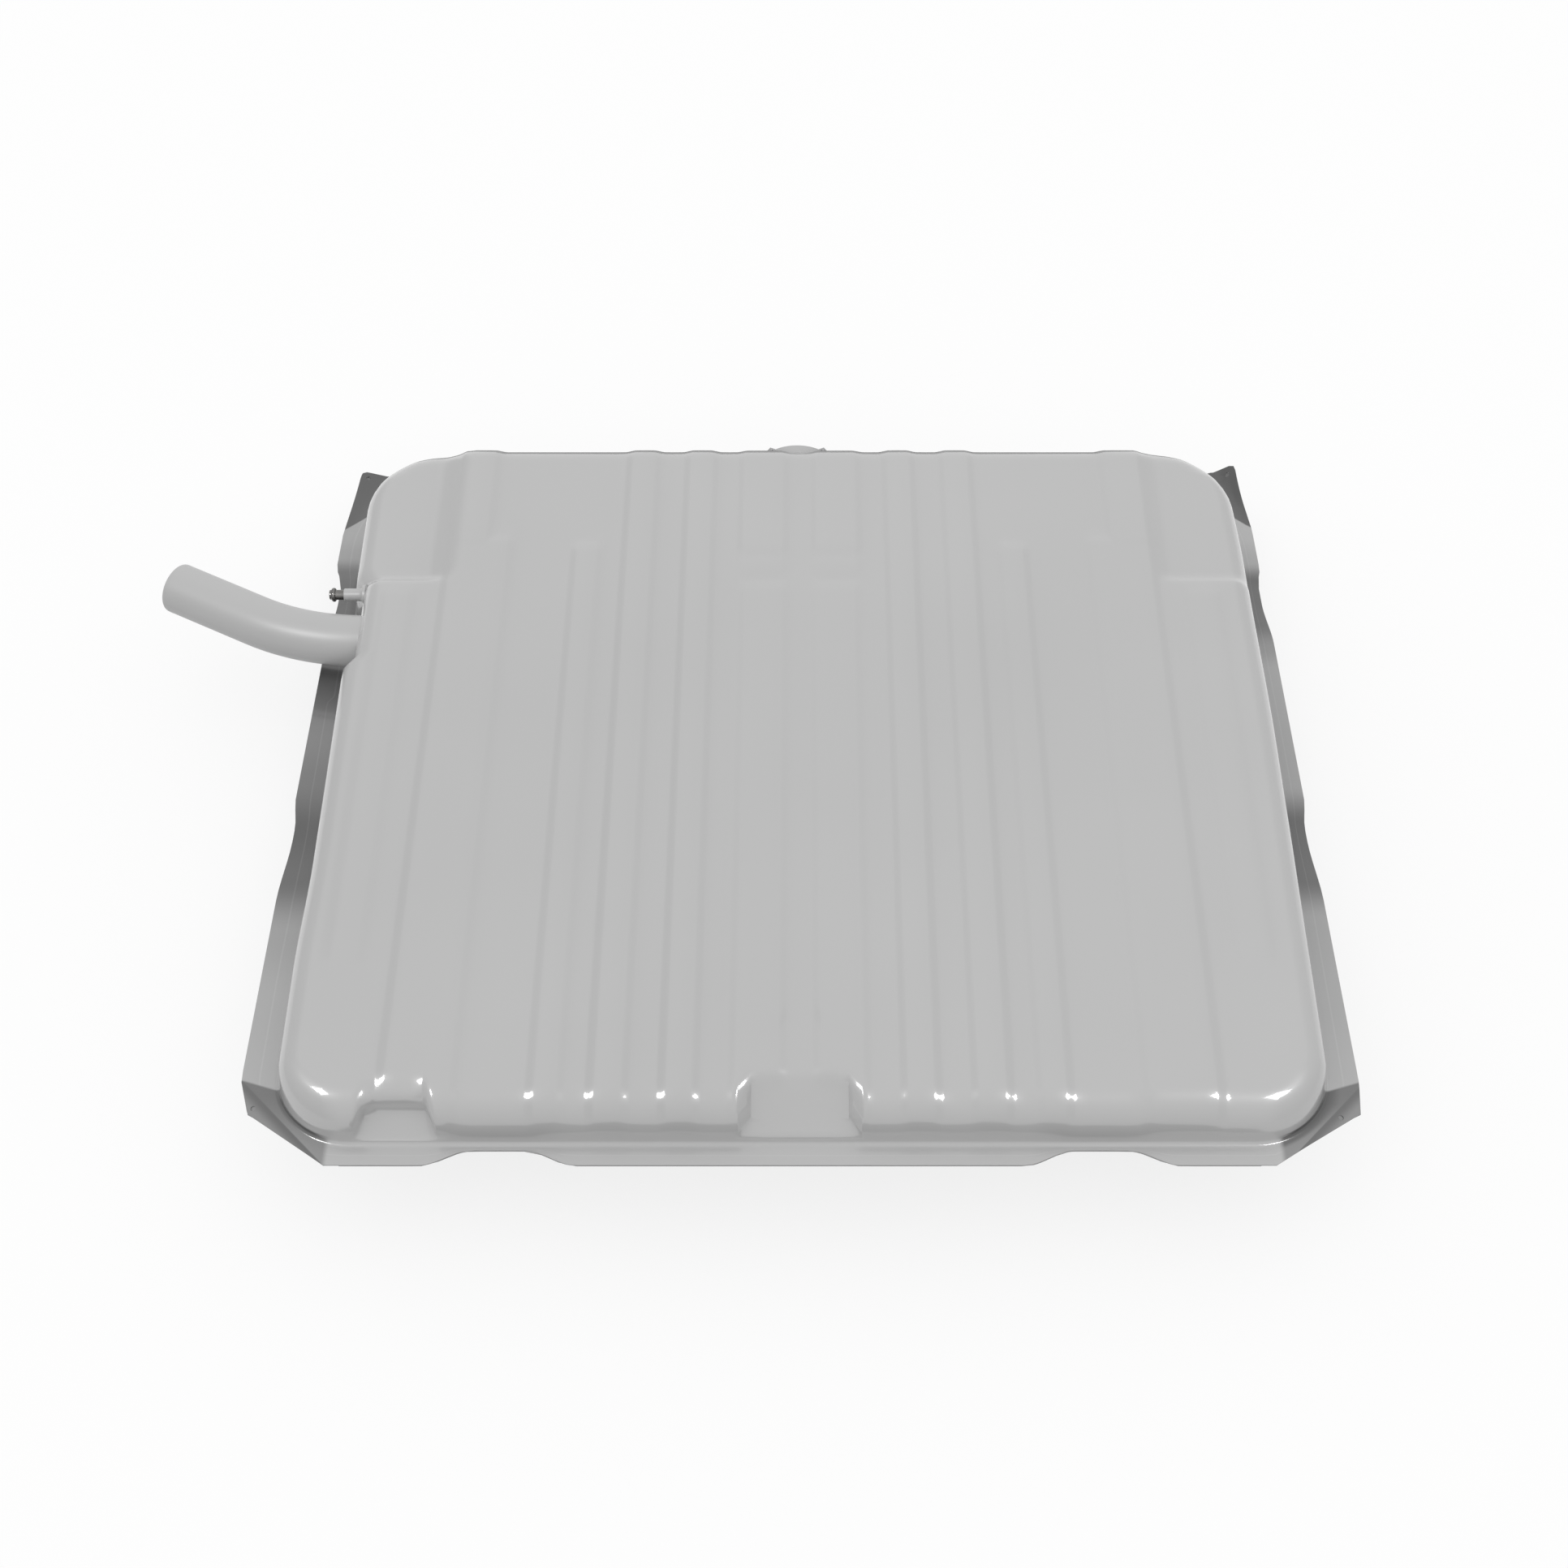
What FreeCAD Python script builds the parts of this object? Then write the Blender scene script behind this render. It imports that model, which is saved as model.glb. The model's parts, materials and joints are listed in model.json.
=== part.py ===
import FreeCAD, Part
import math
import os

# Car fuel tank: two drawn steel pans joined at a seam-welded flange, with a bent filler neck,
# a vent stub, a lock ring for the sender, two slosh baffles and a drain.
# +X to the tank's right, +Y from its plain front to the sender's wall, +Z up, millimetres.
# The origin is on the flat underside, below the middle of the top panel.

V = FreeCAD.Vector

# Sheet and levels
SHEET = 1.0
TOP_Z = 140.0
SEAM_Z = 74.0
SEAM_TILT = 3.3
SOLDER_GAP = 0.1

# Upper pan: sharp corner of the top panel, draft of each wall, corner and edge radii
TOP_HALF_FRONT = 439.5
TOP_HALF_BACK = 445.5
TOP_FRONT = 397.5
TOP_BACK = 385.0
SIDE_DRAFT = 10.0
FRONT_DRAFT = 8.0
BACK_DRAFT = 10.0
CORNER_FRONT = 46.0
CORNER_BACK = 62.0
CORNER_SPREAD = 0.16
EDGE_ROUND = 28.0
TOP_MARGIN = 15.0

# Raised beads of the top panel: (inner x, outer x, near y, far y), mirrored to both sides
BEAD_RISE = 3.5
BEAD_SLOPE = 4.0
BEAD_CORNER = 9.0
THROUGH = 460.0
BEADS = (
    (14.0, 57.0, -THROUGH, 189.0),
    (14.0, 60.0, 208.0, THROUGH),
    (87.0, 116.0, -THROUGH, THROUGH),
    (146.0, 176.0, -THROUGH, THROUGH),
    (200.0, 226.0, -THROUGH, 242.0),
    (289.0, 352.0, -THROUGH, 252.0),
    (311.0, 352.0, 236.0, THROUGH),
    (381.0, 412.0, -250.0, 182.0),
)

# Lowered corners of the top panel at the back
LEDGE_LEFT_DROP = 10.0
LEDGE_LEFT_X = -352.0
LEDGE_LEFT_Y = 200.0
LEDGE_LEFT_SLOPE = 15.0
LEDGE_RIGHT_DROP = 4.0
LEDGE_RIGHT_X = 362.0
LEDGE_RIGHT_Y = 199.0
LEDGE_RIGHT_SLOPE = 10.0
LEDGE_CORNER = 18.0

# Pad of the left wall that carries the neck and the vent
PAD_SET_BACK = 13.0
PAD_NEAR = 90.0
PAD_FAR = 212.0
PAD_RUN = 14.0

# Pockets in the front edge
POCKET_HALF = 52.0
POCKET_Y = -357.0
POCKET_SLOPE = 37.0
POCKET_CORNER = 14.0
CORNER_POCKET_X = -340.0
CORNER_POCKET_HALF = 20.0
CORNER_POCKET_FLARE = 17.0
CORNER_POCKET_Y = -381.0
CORNER_POCKET_DEPTH = 23.0
CORNER_POCKET_SLOPE = 45.0

# Seam flange
FLANGE_HALF = 480.0
FLANGE_FRONT = -425.0
FLANGE_BACK = 424.0
STRAP_X = 260.0
STRAP_NOTCH = 13.0
STRAP_NOTCH_HALF = 25.0
STRAP_NOTCH_RUN = 50.0
SIDE_NOTCH = 5.0
SIDE_NOTCHES = ((-135.0, -30.0), (226.0, 268.0))
NOTCH_ROUND = 24.0
CHAMFER_FRONT_X = 403.0
EAR_FRONT_Y = -343.0
EAR_FRONT_CORNER = (476.0, -372.0)
EAR_BACK_Y = 342.0
EAR_BACK_CORNER = (474.0, 428.0)
EAR_BACK_X = 447.0
EAR_BEND = 20.0
EAR_BEND_LOWER = 16.0
EAR_HOLE_R = 2.3

# Lower pan
FLOOR_FRONT = -336.0
FLOOR_BACK = 386.0
FLOOR_HALF = 432.0
FLOOR_CORNER = 60.0
FLOOR_ROUND = 18.0
CHANNEL_HALF = 24.0
CHANNEL_DEPTH = 5.0
CHANNEL_SLOPE = 6.0
FLOOR_RIB_X = 92.0
FLOOR_RIB_HALF = 16.0
FLOOR_RIB_NEAR = -240.0
FLOOR_RIB_FAR = 300.0
FLOOR_RIB_DEPTH = 4.0

# Filler neck: straight out of the pad, then one swept bend towards the back
NECK_R = 25.4
NECK_WALL = 1.2
NECK_Y = 143.0
NECK_DROP = 32.0
NECK_BEND_X = -479.0
NECK_BEND_R = 150.0
NECK_TURN = 26.0
NECK_RISE = 2.0
NECK_END = 168.0
NECK_INSIDE = 14.0

# Vent: painted socket in the pad and the bare tube that is pressed into it
VENT_Y = 194.0
VENT_DROP = 21.0
SOCKET_R = 6.3
SOCKET_OUT_X = -454.0
VENT_R = 5.0
VENT_WALL = 0.9
VENT_OUT_X = -468.5
VENT_IN_X = -404.0
VENT_BEAD_R = 7.0
VENT_BEAD_HALF = 2.2
VENT_BEAD_FROM_END = 4.0

# Sender port in the back wall: drawn boss, welded lock ring and its hooks
PORT_X = -3.0
PORT_DROP = 47.0
BOSS_R = 43.0
BOSS_PROUD = 1.0
BOSS_DEEP = 32.0
RING_R = 40.0
RING_BORE = 28.0
RING_THICK = 3.0
PORT_LAP = 3.0
HOOKS = 3
HOOK_R = 34.5
HOOK_WIDE = 14.0
HOOK_THICK = 2.0
HOOK_TALL = 6.5
HOOK_REACH = 5.0

# Slosh baffles on the floor
BAFFLE_X = 150.0
BAFFLE_NEAR = -290.0
BAFFLE_FAR = 330.0
BAFFLE_CLEAR_TOP = 12.0
BAFFLE_FOOT = 16.0
BAFFLE_HOLE_R = 26.0
BAFFLE_HOLES = 4
BAFFLE_CORNER = 20.0
BAFFLE_DRAIN_R = 12.0

# Drain in a dimple of the floor
DRAIN_X = 200.0
DRAIN_Y = -285.0
DIMPLE_R = 22.0
DIMPLE_MOUTH_R = 30.0
DIMPLE_DEPTH = 11.0
BOSS_NUT_R = 17.0
BOSS_NUT_TALL = 11.0
DRAIN_BORE = 8.0
GASKET_R = 12.5
GASKET_THICK = 1.5
PLUG_HEAD_FLATS = 19.0
PLUG_HEAD_TALL = 7.0
PLUG_SHANK = 15.0
PLUG_CLEAR = 0.1


def sloped(height, degrees):
    """How far a face leaning by the given angle runs over a height."""
    return height * math.tan(math.radians(degrees))


def seam_height(y):
    """Height of the seam plane at a place along the tank."""
    return SEAM_Z - sloped(y, SEAM_TILT)


def rounded_wire(corners, z=0.0):
    """Closed outline through (x, y, radius) corners, each rounded by a tangent arc."""
    edges = []
    ends = []
    count = len(corners)
    for i in range(count):
        x, y, radius = corners[i]
        here = V(x, y, z)
        back = V(corners[i - 1][0], corners[i - 1][1], z).sub(here).normalize()
        ahead = V(corners[(i + 1) % count][0], corners[(i + 1) % count][1], z).sub(here).normalize()
        half = back.getAngle(ahead) / 2.0
        if radius <= 0.0 or half > math.radians(89.9):
            ends.append((here, None, here))
            continue
        reach = radius / math.tan(half)
        middle = back.add(ahead).normalize()
        inset = radius / math.sin(half) - radius
        ends.append((here.add(back * reach), here.add(middle * inset), here.add(ahead * reach)))
    for i in range(count):
        start, mid, end = ends[i]
        if mid is not None:
            edges.append(Part.Arc(start, mid, end).toShape())
        following = ends[(i + 1) % count][0]
        if end.distanceToPoint(following) > 1e-6:
            edges.append(Part.LineSegment(end, following).toShape())
    return Part.Wire(edges)


def prism(corners, low, high):
    """Upright solid over a rounded outline."""
    return Part.Face(rounded_wire(corners, low)).extrude(V(0, 0, high - low))


def box_corners(x0, x1, y0, y1, radius):
    """Corners of a rectangle with one radius."""
    return [(x0, y0, radius), (x1, y0, radius), (x1, y1, radius), (x0, y1, radius)]


def tilted(shape):
    """Moves a shape drawn at height 0 into the seam plane."""
    placed = shape.copy()
    placed.rotate(V(0, 0, 0), V(1, 0, 0), -SEAM_TILT)
    placed.translate(V(0, 0, SEAM_Z))
    return placed


def above_seam():
    """Half space over the seam plane, as a large block."""
    side = 1600.0
    return tilted(Part.makeBox(side, side, 400.0, V(-side / 2, -side / 2, 0)))


def pan_corners(z, grow):
    """Outline of the upper pan's walls at a height, grown sideways by the given amount."""
    down = TOP_Z - z
    side = sloped(down, SIDE_DRAFT) + grow
    front = -(TOP_FRONT + sloped(down, FRONT_DRAFT) + grow)
    back = TOP_BACK + sloped(down, BACK_DRAFT) + grow
    near_r = CORNER_FRONT + down * CORNER_SPREAD + grow
    far_r = CORNER_BACK + down * CORNER_SPREAD + grow
    near_x = TOP_HALF_FRONT + side
    far_x = TOP_HALF_BACK + side
    return [(-near_x, front, near_r), (near_x, front, near_r), (far_x, back, far_r), (-far_x, back, far_r)]


def edges_at(shape, z):
    """Edges that lie wholly at one height."""
    found = []
    for edge in shape.Edges:
        box = edge.BoundBox
        if abs(box.ZMin - z) < 0.01 and abs(box.ZMax - z) < 0.01:
            found.append(edge)
    return found


def pan_form(grow, level=0.0, shift=0.0):
    """Solid inside the upper pan's skin, with its top panel raised by level and walls moved by shift."""
    low = 20.0
    high = TOP_Z + TOP_MARGIN
    top = TOP_Z + level + grow
    wires = [rounded_wire(pan_corners(z, grow + shift), z) for z in (low, high)]
    walls = Part.makeLoft(wires, True, True)
    size = 1400.0
    block = walls.common(Part.makeBox(size, size, top - low, V(-size / 2, -size / 2, low)))
    return block.makeFillet(EDGE_ROUND + grow, edges_at(block, top))


def bead_tool(x0, x1, y0, y1, grow):
    """Column over one bead's outline, with sloped flanks over the rise."""
    foot = BEAD_SLOPE + grow
    wide = box_corners(x0 - foot, x1 + foot, y0 - foot, y1 + foot, BEAD_CORNER + foot)
    narrow = box_corners(x0 - grow, x1 + grow, y0 - grow, y1 + grow, BEAD_CORNER + grow)
    base = TOP_Z + grow
    column = prism(wide, base - 60.0, base)
    flank = Part.makeLoft([rounded_wire(wide, base), rounded_wire(narrow, base + BEAD_RISE)], True, True)
    return column.fuse(flank)


def ledge_tool(x0, x1, y0, y1, slope, depth, grow):
    """Column over a lowered corner of the panel, widening upwards by its slope."""
    floor_z = TOP_Z - depth + grow
    top_z = TOP_Z + grow + BEAD_RISE + 2.0
    per_mm = slope / depth
    wide_by = per_mm * (top_z - floor_z)
    low = box_corners(x0 + grow, x1 - grow, y0 + grow, y1, LEDGE_CORNER)
    high = box_corners(x0 + grow - wide_by, x1 - grow + wide_by, y0 + grow - wide_by, y1 + wide_by, LEDGE_CORNER)
    flank = Part.makeLoft([rounded_wire(low, floor_z), rounded_wire(high, top_z)], True, True)
    return flank.fuse(prism(low, floor_z - 60.0, floor_z))


def pad_tool(grow):
    """Column that clears the left wall where the pad is set back."""
    near = PAD_NEAR + grow
    far = PAD_FAR - grow
    inner = -(TOP_HALF_FRONT - 40.0)
    outer = -(TOP_HALF_BACK + 60.0)
    knee = -(TOP_HALF_FRONT - PAD_SET_BACK)
    reach = outer - knee
    corners = [
        (inner, near + PAD_RUN, 0.0),
        (knee, near + PAD_RUN, 0.0),
        (outer, near + PAD_RUN + reach * PAD_RUN / PAD_SET_BACK, 0.0),
        (outer, far - PAD_RUN - reach * PAD_RUN / PAD_SET_BACK, 0.0),
        (knee, far - PAD_RUN, 0.0),
        (inner, far - PAD_RUN, 0.0),
    ]
    return prism(corners, 0.0, TOP_Z + TOP_MARGIN)


def centre_pocket_tool(grow):
    """Wedge cut into the front edge at the middle, with a ramp for its floor."""
    y = POCKET_Y - grow
    high = TOP_Z + TOP_MARGIN
    drop = grow / math.cos(math.radians(POCKET_SLOPE))
    run = 90.0
    start = TOP_Z + drop
    end = start - sloped(run, POCKET_SLOPE)
    points = [V(0, y, high), V(0, y, start), V(0, y - run, end), V(0, y - run, high), V(0, y, high)]
    wedge = Part.Face(Part.makePolygon(points)).extrude(V(2 * TOP_HALF_FRONT, 0, 0))
    wedge.translate(V(-TOP_HALF_FRONT, 0, 0))
    half = POCKET_HALF - grow
    return wedge.common(prism(box_corners(-half, half, y - run, y, POCKET_CORNER), SEAM_Z, high))


def corner_pocket_tool(grow):
    """Notch cut into the front edge near the left corner, flared towards the flange."""
    y = CORNER_POCKET_Y - grow
    high = TOP_Z + TOP_MARGIN
    run = 60.0
    start = TOP_Z - CORNER_POCKET_DEPTH + grow
    end = start - sloped(run, CORNER_POCKET_SLOPE)
    points = [V(0, y, high), V(0, y, start), V(0, y - run, end), V(0, y - run, high), V(0, y, high)]
    wedge = Part.Face(Part.makePolygon(points)).extrude(V(2 * TOP_HALF_FRONT, 0, 0))
    wedge.translate(V(-TOP_HALF_FRONT, 0, 0))
    half = CORNER_POCKET_HALF - grow
    flare = CORNER_POCKET_FLARE * run / 20.0
    x = CORNER_POCKET_X
    corners = [(x - half, y, 6.0), (x + half, y, 6.0), (x + half + flare, y - run, 0.0), (x - half - flare, y - run, 0.0)]
    return wedge.common(prism(corners, SEAM_Z, high))


def boss_axis():
    """Centre of the sender port on the back wall and the wall's outward normal."""
    lean = math.radians(BACK_DRAFT)
    centre = V(PORT_X, TOP_BACK + sloped(PORT_DROP, BACK_DRAFT), TOP_Z - PORT_DROP)
    return centre, V(0, math.cos(lean), math.sin(lean))


def boss_disc(radius, start, length):
    """Cylinder on the sender port's axis, from a distance outside the wall."""
    centre, normal = boss_axis()
    return Part.makeCylinder(radius, length, centre.add(normal * start), normal)


def upper_form(grow):
    """Solid bounded by the upper pan's outer skin, or by its inner skin when grow is minus the sheet."""
    plain = pan_form(grow)
    raised = pan_form(grow, BEAD_RISE)
    tools = []
    for x0, x1, y0, y1 in BEADS:
        tools.append(bead_tool(x0, x1, y0, y1, grow))
        tools.append(bead_tool(-x1, -x0, y0, y1, grow))
    beads = tools[0].multiFuse(tools[1:])
    form = plain.fuse(raised.common(beads))
    left = ledge_tool(-THROUGH, LEDGE_LEFT_X, LEDGE_LEFT_Y, THROUGH, LEDGE_LEFT_SLOPE, LEDGE_LEFT_DROP, grow)
    cuts = [left.cut(pan_form(grow, -LEDGE_LEFT_DROP))]
    right = ledge_tool(LEDGE_RIGHT_X, THROUGH, LEDGE_RIGHT_Y, THROUGH, LEDGE_RIGHT_SLOPE, LEDGE_RIGHT_DROP, grow)
    cuts.append(right.cut(pan_form(grow, -LEDGE_RIGHT_DROP)))
    cuts.append(pad_tool(grow).cut(pan_form(grow, 0.0, -PAD_SET_BACK)))
    cuts.append(centre_pocket_tool(grow))
    cuts.append(corner_pocket_tool(grow))
    form = form.cut(cuts)
    return form.fuse(boss_disc(BOSS_R + grow, -BOSS_DEEP, BOSS_DEEP + BOSS_PROUD + grow))


def flange_corners():
    """Outline of the seam flange without its bent ears, from the front left corner round."""
    notch_in = FLANGE_FRONT + STRAP_NOTCH
    run = STRAP_NOTCH_HALF + STRAP_NOTCH_RUN
    corners = [(-FLANGE_HALF, EAR_FRONT_Y, 0.0), (-CHAMFER_FRONT_X, FLANGE_FRONT, 0.0)]
    for x in (-STRAP_X, STRAP_X):
        corners.append((x - run, FLANGE_FRONT, NOTCH_ROUND))
        corners.append((x - STRAP_NOTCH_HALF, notch_in, NOTCH_ROUND))
        corners.append((x + STRAP_NOTCH_HALF, notch_in, NOTCH_ROUND))
        corners.append((x + run, FLANGE_FRONT, NOTCH_ROUND))
    corners.append((CHAMFER_FRONT_X, FLANGE_FRONT, 0.0))
    corners.append((FLANGE_HALF, EAR_FRONT_Y, 0.0))
    for near, far in SIDE_NOTCHES:
        quarter = (far - near) / 4.0
        corners.append((FLANGE_HALF, near, NOTCH_ROUND))
        corners.append((FLANGE_HALF - SIDE_NOTCH, near + quarter, NOTCH_ROUND))
        corners.append((FLANGE_HALF - SIDE_NOTCH, far - quarter, NOTCH_ROUND))
        corners.append((FLANGE_HALF, far, NOTCH_ROUND))
    corners.append((FLANGE_HALF, EAR_BACK_Y, 0.0))
    corners.append((EAR_BACK_X, FLANGE_BACK, 0.0))
    corners.append((-EAR_BACK_X, FLANGE_BACK, 0.0))
    corners.append((-FLANGE_HALF, EAR_BACK_Y, 0.0))
    for near, far in reversed(SIDE_NOTCHES):
        quarter = (far - near) / 4.0
        corners.append((-FLANGE_HALF, far, NOTCH_ROUND))
        corners.append((-FLANGE_HALF + SIDE_NOTCH, far - quarter, NOTCH_ROUND))
        corners.append((-FLANGE_HALF + SIDE_NOTCH, near + quarter, NOTCH_ROUND))
        corners.append((-FLANGE_HALF, near, NOTCH_ROUND))
    return corners


def ear(side, start, tip, end, bend, low):
    """Corner tab of the flange, folded up along the line from start to end."""
    flat = [(side * start[0], start[1], 0.0), (side * tip[0], tip[1], 5.0), (side * end[0], end[1], 0.0)]
    tab = prism(flat, low, low + SHEET)
    hole = V((side * (start[0] + 2 * tip[0] + end[0])) / 4.0, (start[1] + 2 * tip[1] + end[1]) / 4.0, low - SHEET)
    tab = tab.cut(Part.makeCylinder(EAR_HOLE_R, 3 * SHEET, hole))
    first = V(side * start[0], start[1], low)
    second = V(side * end[0], end[1], low)
    axis = second.sub(first)
    outward = V(side * tip[0], tip[1], low).sub(first)
    turn = bend if axis.cross(outward).z > 0 else -bend
    tab.rotate(first, axis, turn)
    return tab


def flange(low, bend):
    """One sheet of the seam flange with its four ears, drawn flat at the given height."""
    plate = prism(flange_corners(), low, low + SHEET)
    for side in (-1, 1):
        front = ear(side, (FLANGE_HALF, EAR_FRONT_Y), EAR_FRONT_CORNER, (CHAMFER_FRONT_X, FLANGE_FRONT), bend, low)
        back = ear(side, (FLANGE_HALF, EAR_BACK_Y), EAR_BACK_CORNER, (EAR_BACK_X, FLANGE_BACK), bend, low)
        plate = plate.multiFuse([front, back])
    return tilted(plate)


def neck_path():
    """Axis of the filler neck as points: inner end, first tangent, arc middle, second tangent, mouth."""
    z = TOP_Z - NECK_DROP
    turn = math.radians(NECK_TURN)
    rise = math.radians(NECK_RISE)
    corner = V(NECK_BEND_X, NECK_Y, z)
    out = V(-math.cos(turn) * math.cos(rise), math.sin(turn) * math.cos(rise), math.sin(rise))
    back = V(1, 0, 0)
    half = back.getAngle(out) / 2.0
    reach = NECK_BEND_R / math.tan(half)
    middle = back.add(out).normalize() * (NECK_BEND_R / math.sin(half) - NECK_BEND_R)
    inner = V(-(TOP_HALF_FRONT - PAD_SET_BACK - NECK_INSIDE), NECK_Y, z)
    return [inner, corner.add(back * reach), corner.add(middle), corner.add(out * reach), corner.add(out * NECK_END)], out


def neck_solid(radius, extra):
    """Round bar along the neck's axis, lengthened at both ends by extra."""
    points, out = neck_path()
    points[0] = points[0].add(V(extra, 0, 0))
    points[4] = points[4].add(out * extra)
    edges = [
        Part.LineSegment(points[0], points[1]).toShape(),
        Part.Arc(points[1], points[2], points[3]).toShape(),
        Part.LineSegment(points[3], points[4]).toShape(),
    ]
    section = Part.Wire(Part.makeCircle(radius, points[0], V(1, 0, 0)))
    return Part.Wire(edges).makePipeShell([section], True, False)


def filler_neck():
    """Bent steel tube of the neck."""
    return neck_solid(NECK_R, 0.0).cut(neck_solid(NECK_R - NECK_WALL, 5.0))


def along_x(radius, x0, x1, y, z):
    """Cylinder along X between two places."""
    return Part.makeCylinder(radius, x1 - x0, V(x0, y, z), V(1, 0, 0))


def vent_socket():
    """Painted socket soldered through the pad."""
    z = TOP_Z - VENT_DROP
    inner_x = -(TOP_HALF_FRONT - PAD_SET_BACK - NECK_INSIDE)
    outer = along_x(SOCKET_R, SOCKET_OUT_X, inner_x, VENT_Y, z)
    bore = along_x(VENT_R + SOLDER_GAP, SOCKET_OUT_X - 1.0, inner_x + 1.0, VENT_Y, z)
    return outer.cut(bore)


def vent_tube():
    """Bare tube held in the socket, with a rolled bead behind its mouth for the hose."""
    half = VENT_BEAD_HALF
    rise = VENT_BEAD_R - VENT_R
    centre = VENT_OUT_X + VENT_BEAD_FROM_END
    bore = VENT_R - VENT_WALL
    start = V(VENT_OUT_X, 0, VENT_R)
    foot = V(centre - half, 0, VENT_R)
    crest = V(centre, 0, VENT_R + rise)
    heel = V(centre + half, 0, VENT_R)
    end = V(VENT_IN_X, 0, VENT_R)
    inner_end = V(VENT_IN_X, 0, bore)
    inner_start = V(VENT_OUT_X, 0, bore)
    edges = [
        Part.LineSegment(start, foot).toShape(),
        Part.Arc(foot, crest, heel).toShape(),
        Part.LineSegment(heel, end).toShape(),
        Part.LineSegment(end, inner_end).toShape(),
        Part.LineSegment(inner_end, inner_start).toShape(),
        Part.LineSegment(inner_start, start).toShape(),
    ]
    tube = Part.Face(Part.Wire(edges)).revolve(V(0, 0, 0), V(1, 0, 0), 360)
    tube.translate(V(0, VENT_Y, TOP_Z - VENT_DROP))
    return tube


def upper_shell():
    """Drawn upper pan with its flange, and the holes for the neck, the vent and the sender."""
    skin = upper_form(0.0).common(above_seam()).fuse(flange(0.0, EAR_BEND))
    shell = skin.cut(upper_form(-SHEET))
    neck_z = TOP_Z - NECK_DROP
    shell = shell.cut(along_x(NECK_R + SOLDER_GAP, -TOP_HALF_BACK - 40.0, -TOP_HALF_FRONT + 50.0, NECK_Y, neck_z))
    vent_z = TOP_Z - VENT_DROP
    shell = shell.cut(along_x(SOCKET_R + SOLDER_GAP, -TOP_HALF_BACK - 40.0, -TOP_HALF_FRONT + 50.0, VENT_Y, vent_z))
    return shell.cut(boss_disc(RING_BORE + PORT_LAP, -BOSS_DEEP - 20.0, BOSS_DEEP + 40.0))


def lower_ring(part, grow):
    """Outline of the lower pan at a share of the way from the floor to the seam, as a tilted wire."""
    front_down = TOP_Z - seam_height(-TOP_FRONT)
    back_down = TOP_Z - seam_height(TOP_BACK)
    seam_front = -(TOP_FRONT + sloped(front_down, FRONT_DRAFT))
    seam_back = TOP_BACK + sloped(back_down, BACK_DRAFT)
    near_x = TOP_HALF_FRONT + sloped(front_down, SIDE_DRAFT)
    far_x = TOP_HALF_BACK + sloped(back_down, SIDE_DRAFT)
    near_r = CORNER_FRONT + front_down * CORNER_SPREAD
    far_r = CORNER_BACK + back_down * CORNER_SPREAD

    def between(floor_value, seam_value):
        return floor_value + (seam_value - floor_value) * part

    x0 = between(FLOOR_HALF, near_x) + grow
    x1 = between(FLOOR_HALF, far_x) + grow
    y0 = between(FLOOR_FRONT, seam_front) - grow
    y1 = between(FLOOR_BACK, seam_back) + grow
    r0 = between(FLOOR_CORNER, near_r) + grow
    r1 = between(FLOOR_CORNER, far_r) + grow
    wire = rounded_wire([(-x0, y0, r0), (x0, y0, r0), (x1, y1, r1), (-x1, y1, r1)])
    wire.rotate(V(0, 0, 0), V(1, 0, 0), -SEAM_TILT * part)
    wire.translate(V(0, 0, SEAM_Z * part))
    return wire


def lower_plain(grow, level=0.0):
    """Solid inside the lower pan's skin, with its floor raised by level."""
    floor_z = level - grow
    rings = [lower_ring(part, grow) for part in (0.0, 1.1)]
    walls = Part.makeLoft(rings, True, True)
    size = 1400.0
    block = walls.common(Part.makeBox(size, size, 300.0, V(-size / 2, -size / 2, floor_z)))
    return block.makeFillet(FLOOR_ROUND + grow, edges_at(block, floor_z))


def floor_tool(x0, x1, y0, y1, depth, grow):
    """Column under a pressed-in channel of the floor, narrowing upwards."""
    slope = CHANNEL_SLOPE
    wide = box_corners(x0 - slope - grow, x1 + slope + grow, y0 - slope - grow, y1 + slope + grow, CHANNEL_SLOPE + 8.0)
    narrow = box_corners(x0 - grow, x1 + grow, y0 - grow, y1 + grow, 8.0)
    low = grow
    high = low + depth
    flank = Part.makeLoft([rounded_wire(wide, low), rounded_wire(narrow, high)], True, True)
    return flank.multiFuse([prism(wide, low - 5.0, low), prism(narrow, high, high + 40.0)])


def lower_form(grow):
    """Solid bounded by the lower pan's outer skin, or its inner skin when grow is minus the sheet."""
    form = lower_plain(grow)
    channels = lower_plain(grow, CHANNEL_DEPTH)
    ribs = lower_plain(grow, FLOOR_RIB_DEPTH)
    cuts = [Part.makeCone(DIMPLE_MOUTH_R - grow, DIMPLE_R - grow, DIMPLE_DEPTH, V(DRAIN_X, DRAIN_Y, -grow))]
    for side in (-1, 1):
        x = side * STRAP_X
        tool = floor_tool(x - CHANNEL_HALF, x + CHANNEL_HALF, -THROUGH, THROUGH, CHANNEL_DEPTH, -grow)
        cuts.append(tool.cut(channels))
        x = side * FLOOR_RIB_X
        tool = floor_tool(x - FLOOR_RIB_HALF, x + FLOOR_RIB_HALF, FLOOR_RIB_NEAR, FLOOR_RIB_FAR, FLOOR_RIB_DEPTH, -grow)
        cuts.append(tool.cut(ribs))
    return form.cut(cuts)


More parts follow.
